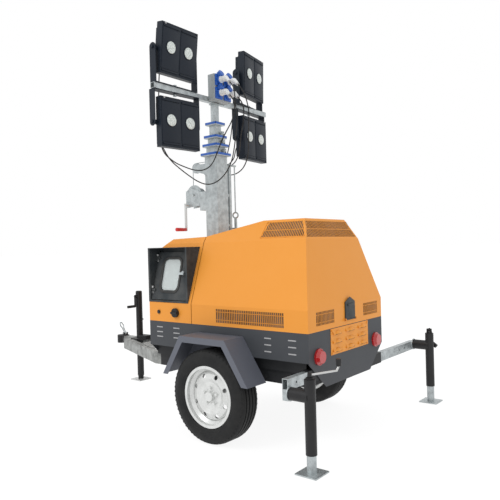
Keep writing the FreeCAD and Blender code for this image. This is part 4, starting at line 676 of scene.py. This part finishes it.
# ---- Cranks -------------------------------------------------------------
# Bent-rod jack cranks with plastic knobs, and the winch handle with its red
# turning grip.
red_grip = finish_of("red_grip", (0.55, 0.02, 0.02), 0.4, amount=0.1)
zinc_pale = finish_of("zinc_pale", (0.55, 0.56, 0.56), 0.35, 0.4, amount=0.3)
jack_x, jack_y = 0.812, -0.688
crank_turn = (Matrix.Translation((jack_x, jack_y, 0)) @ Matrix.Rotation(math.radians(-22), 4, "Z")
              @ Matrix.Translation((-jack_x, -jack_y, 0)))
left_rod = weld("jack_crank_rod_left", [
    round_run((jack_x, jack_y, 0.521), (jack_x, jack_y, 0.565), 0.008, 0.008),
    round_run((jack_x, jack_y, 0.559), (jack_x, -0.4945, 0.559), 0.006, 0.006),
    round_run((jack_x, -0.496, 0.5575), (jack_x, -0.479, 0.585), 0.006, 0.006)])
moved(left_rod, crank_turn)
settle(left_rod, zinc_pale, "rear_crank_left")
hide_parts("rear_jack_crank_left")
left_knob = weld("jack_crank_knob_left", [
    round_run((jack_x, jack_y, 0.5453), (jack_x, jack_y, 0.569), 0.0140, 0.0125),
    round_run((jack_x, -0.479, 0.583), (jack_x, -0.479, 0.626), 0.0145, 0.0170)], 0.003, 3)
moved(left_knob, crank_turn)
settle(left_knob, black_enamel, "rear_crank_left")
winch_x = -0.745
winch_arm = weld("winch_handle_arm", [
    round_run((winch_x, -0.084, 1.647), (winch_x, 0.050, 1.647), 0.008, 0.008),
    round_run((winch_x, -0.038, 1.647), (winch_x, -0.030, 1.647), 0.016, 0.016),
    bar((winch_x - 0.012, -0.084, 1.435), (winch_x + 0.012, -0.078, 1.661))], 0.0008)
settle(winch_arm, zinc_pale, "winch_crank")
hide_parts("winch_crank")
winch_grip = weld("winch_handle_grip", [round_run((winch_x, -0.084, 1.447), (winch_x, -0.192, 1.447), 0.013, 0.015)],
                  0.003, 3)
settle(winch_grip, red_grip, "winch_crank")

# The drawbar jack's foot is plated while its tubes are black.
front_foot = weld("front_jack_foot", [bar((-1.5206, -0.0656, 0.1155), (-1.3894, 0.0656, 0.1246))], 0.001)
settle(front_foot, zinc_pale, "front_jack_leg")

# ---- Door, lock and tail lights -----------------------------------------
# A rubber seal frames the door window, plated hinge leaves carry the door,
# a round lock closes the body side, and the tail lights have black bases.
seal_black = finish_of("seal_black", (0.008, 0.008, 0.008), 0.55, amount=0.1)
bpy.ops.object.select_all(action="DESELECT")
bpy.ops.mesh.primitive_plane_add(size=1, location=(-0.550, 0, 1.0995), rotation=(math.pi / 2, 0, 0))
seal = bpy.context.object
seal.scale = (0.214, 0.267, 1)
bpy.ops.object.transform_apply(location=True, rotation=True, scale=True)
bpy.ops.object.mode_set(mode="EDIT")
bpy.ops.mesh.select_all(action="SELECT")
bpy.ops.mesh.bevel(affect="VERTICES", offset=0.057, segments=10)
bpy.ops.mesh.select_all(action="SELECT")
bpy.ops.mesh.inset(thickness=0.019)
bpy.ops.mesh.delete(type="FACE")
bpy.ops.object.mode_set(mode="OBJECT")
skin = seal.modifiers.new("thickness", "SOLIDIFY")
skin.thickness = 0.010
skin.offset = 0
bpy.ops.object.modifier_apply(modifier=skin.name)
seal = weld("door_window_seal", [seal], 0.002)
door_slope = 0.25
door_foot_y, door_foot_z = -0.493, 0.915
door_lean = Matrix.Identity(4)
door_lean[1][2] = door_slope
moved(seal, Matrix.Translation((0, door_foot_y - door_slope * door_foot_z - 0.001, 0)) @ door_lean)
settle(seal, seal_black, "door")
leaves = []
for z in (0.987, 1.226):
    y = door_foot_y + door_slope * (z - door_foot_z) - 0.0075
    leaves.append(bar((-0.7225, y - 0.0075, z - 0.029), (-0.7095, y + 0.0045, z - 0.0135)))
    leaves.append(bar((-0.7225, y - 0.0075, z + 0.0135), (-0.7095, y + 0.0045, z + 0.029)))
settle(weld("door_hinge_leaves", leaves, 0.002), zinc_pale, "chassis")
# The keyway is a flat black bar on the lock face: painted shade for the key slot.
keyway = weld("side_lock_keyway", [bar((-0.640, -0.5052, 0.816), (-0.634, -0.5040, 0.832))])
settle(keyway, seal_black, "chassis")
barrel = round_run((-0.637, -0.5045, 0.824), (-0.637, -0.4975, 0.824), 0.0145, 0.0145)
settle(weld("side_lock", [barrel], 0.001), black_enamel, "chassis")
for y in (-0.385, 0.385):
    base = weld("tail_light_base_%s" % ("left" if y < 0 else "right"),
                [disc_forward(body_back, y, 0.598, 0.0500, 0.010)], 0.002)
    settle(base, seal_black, "chassis")
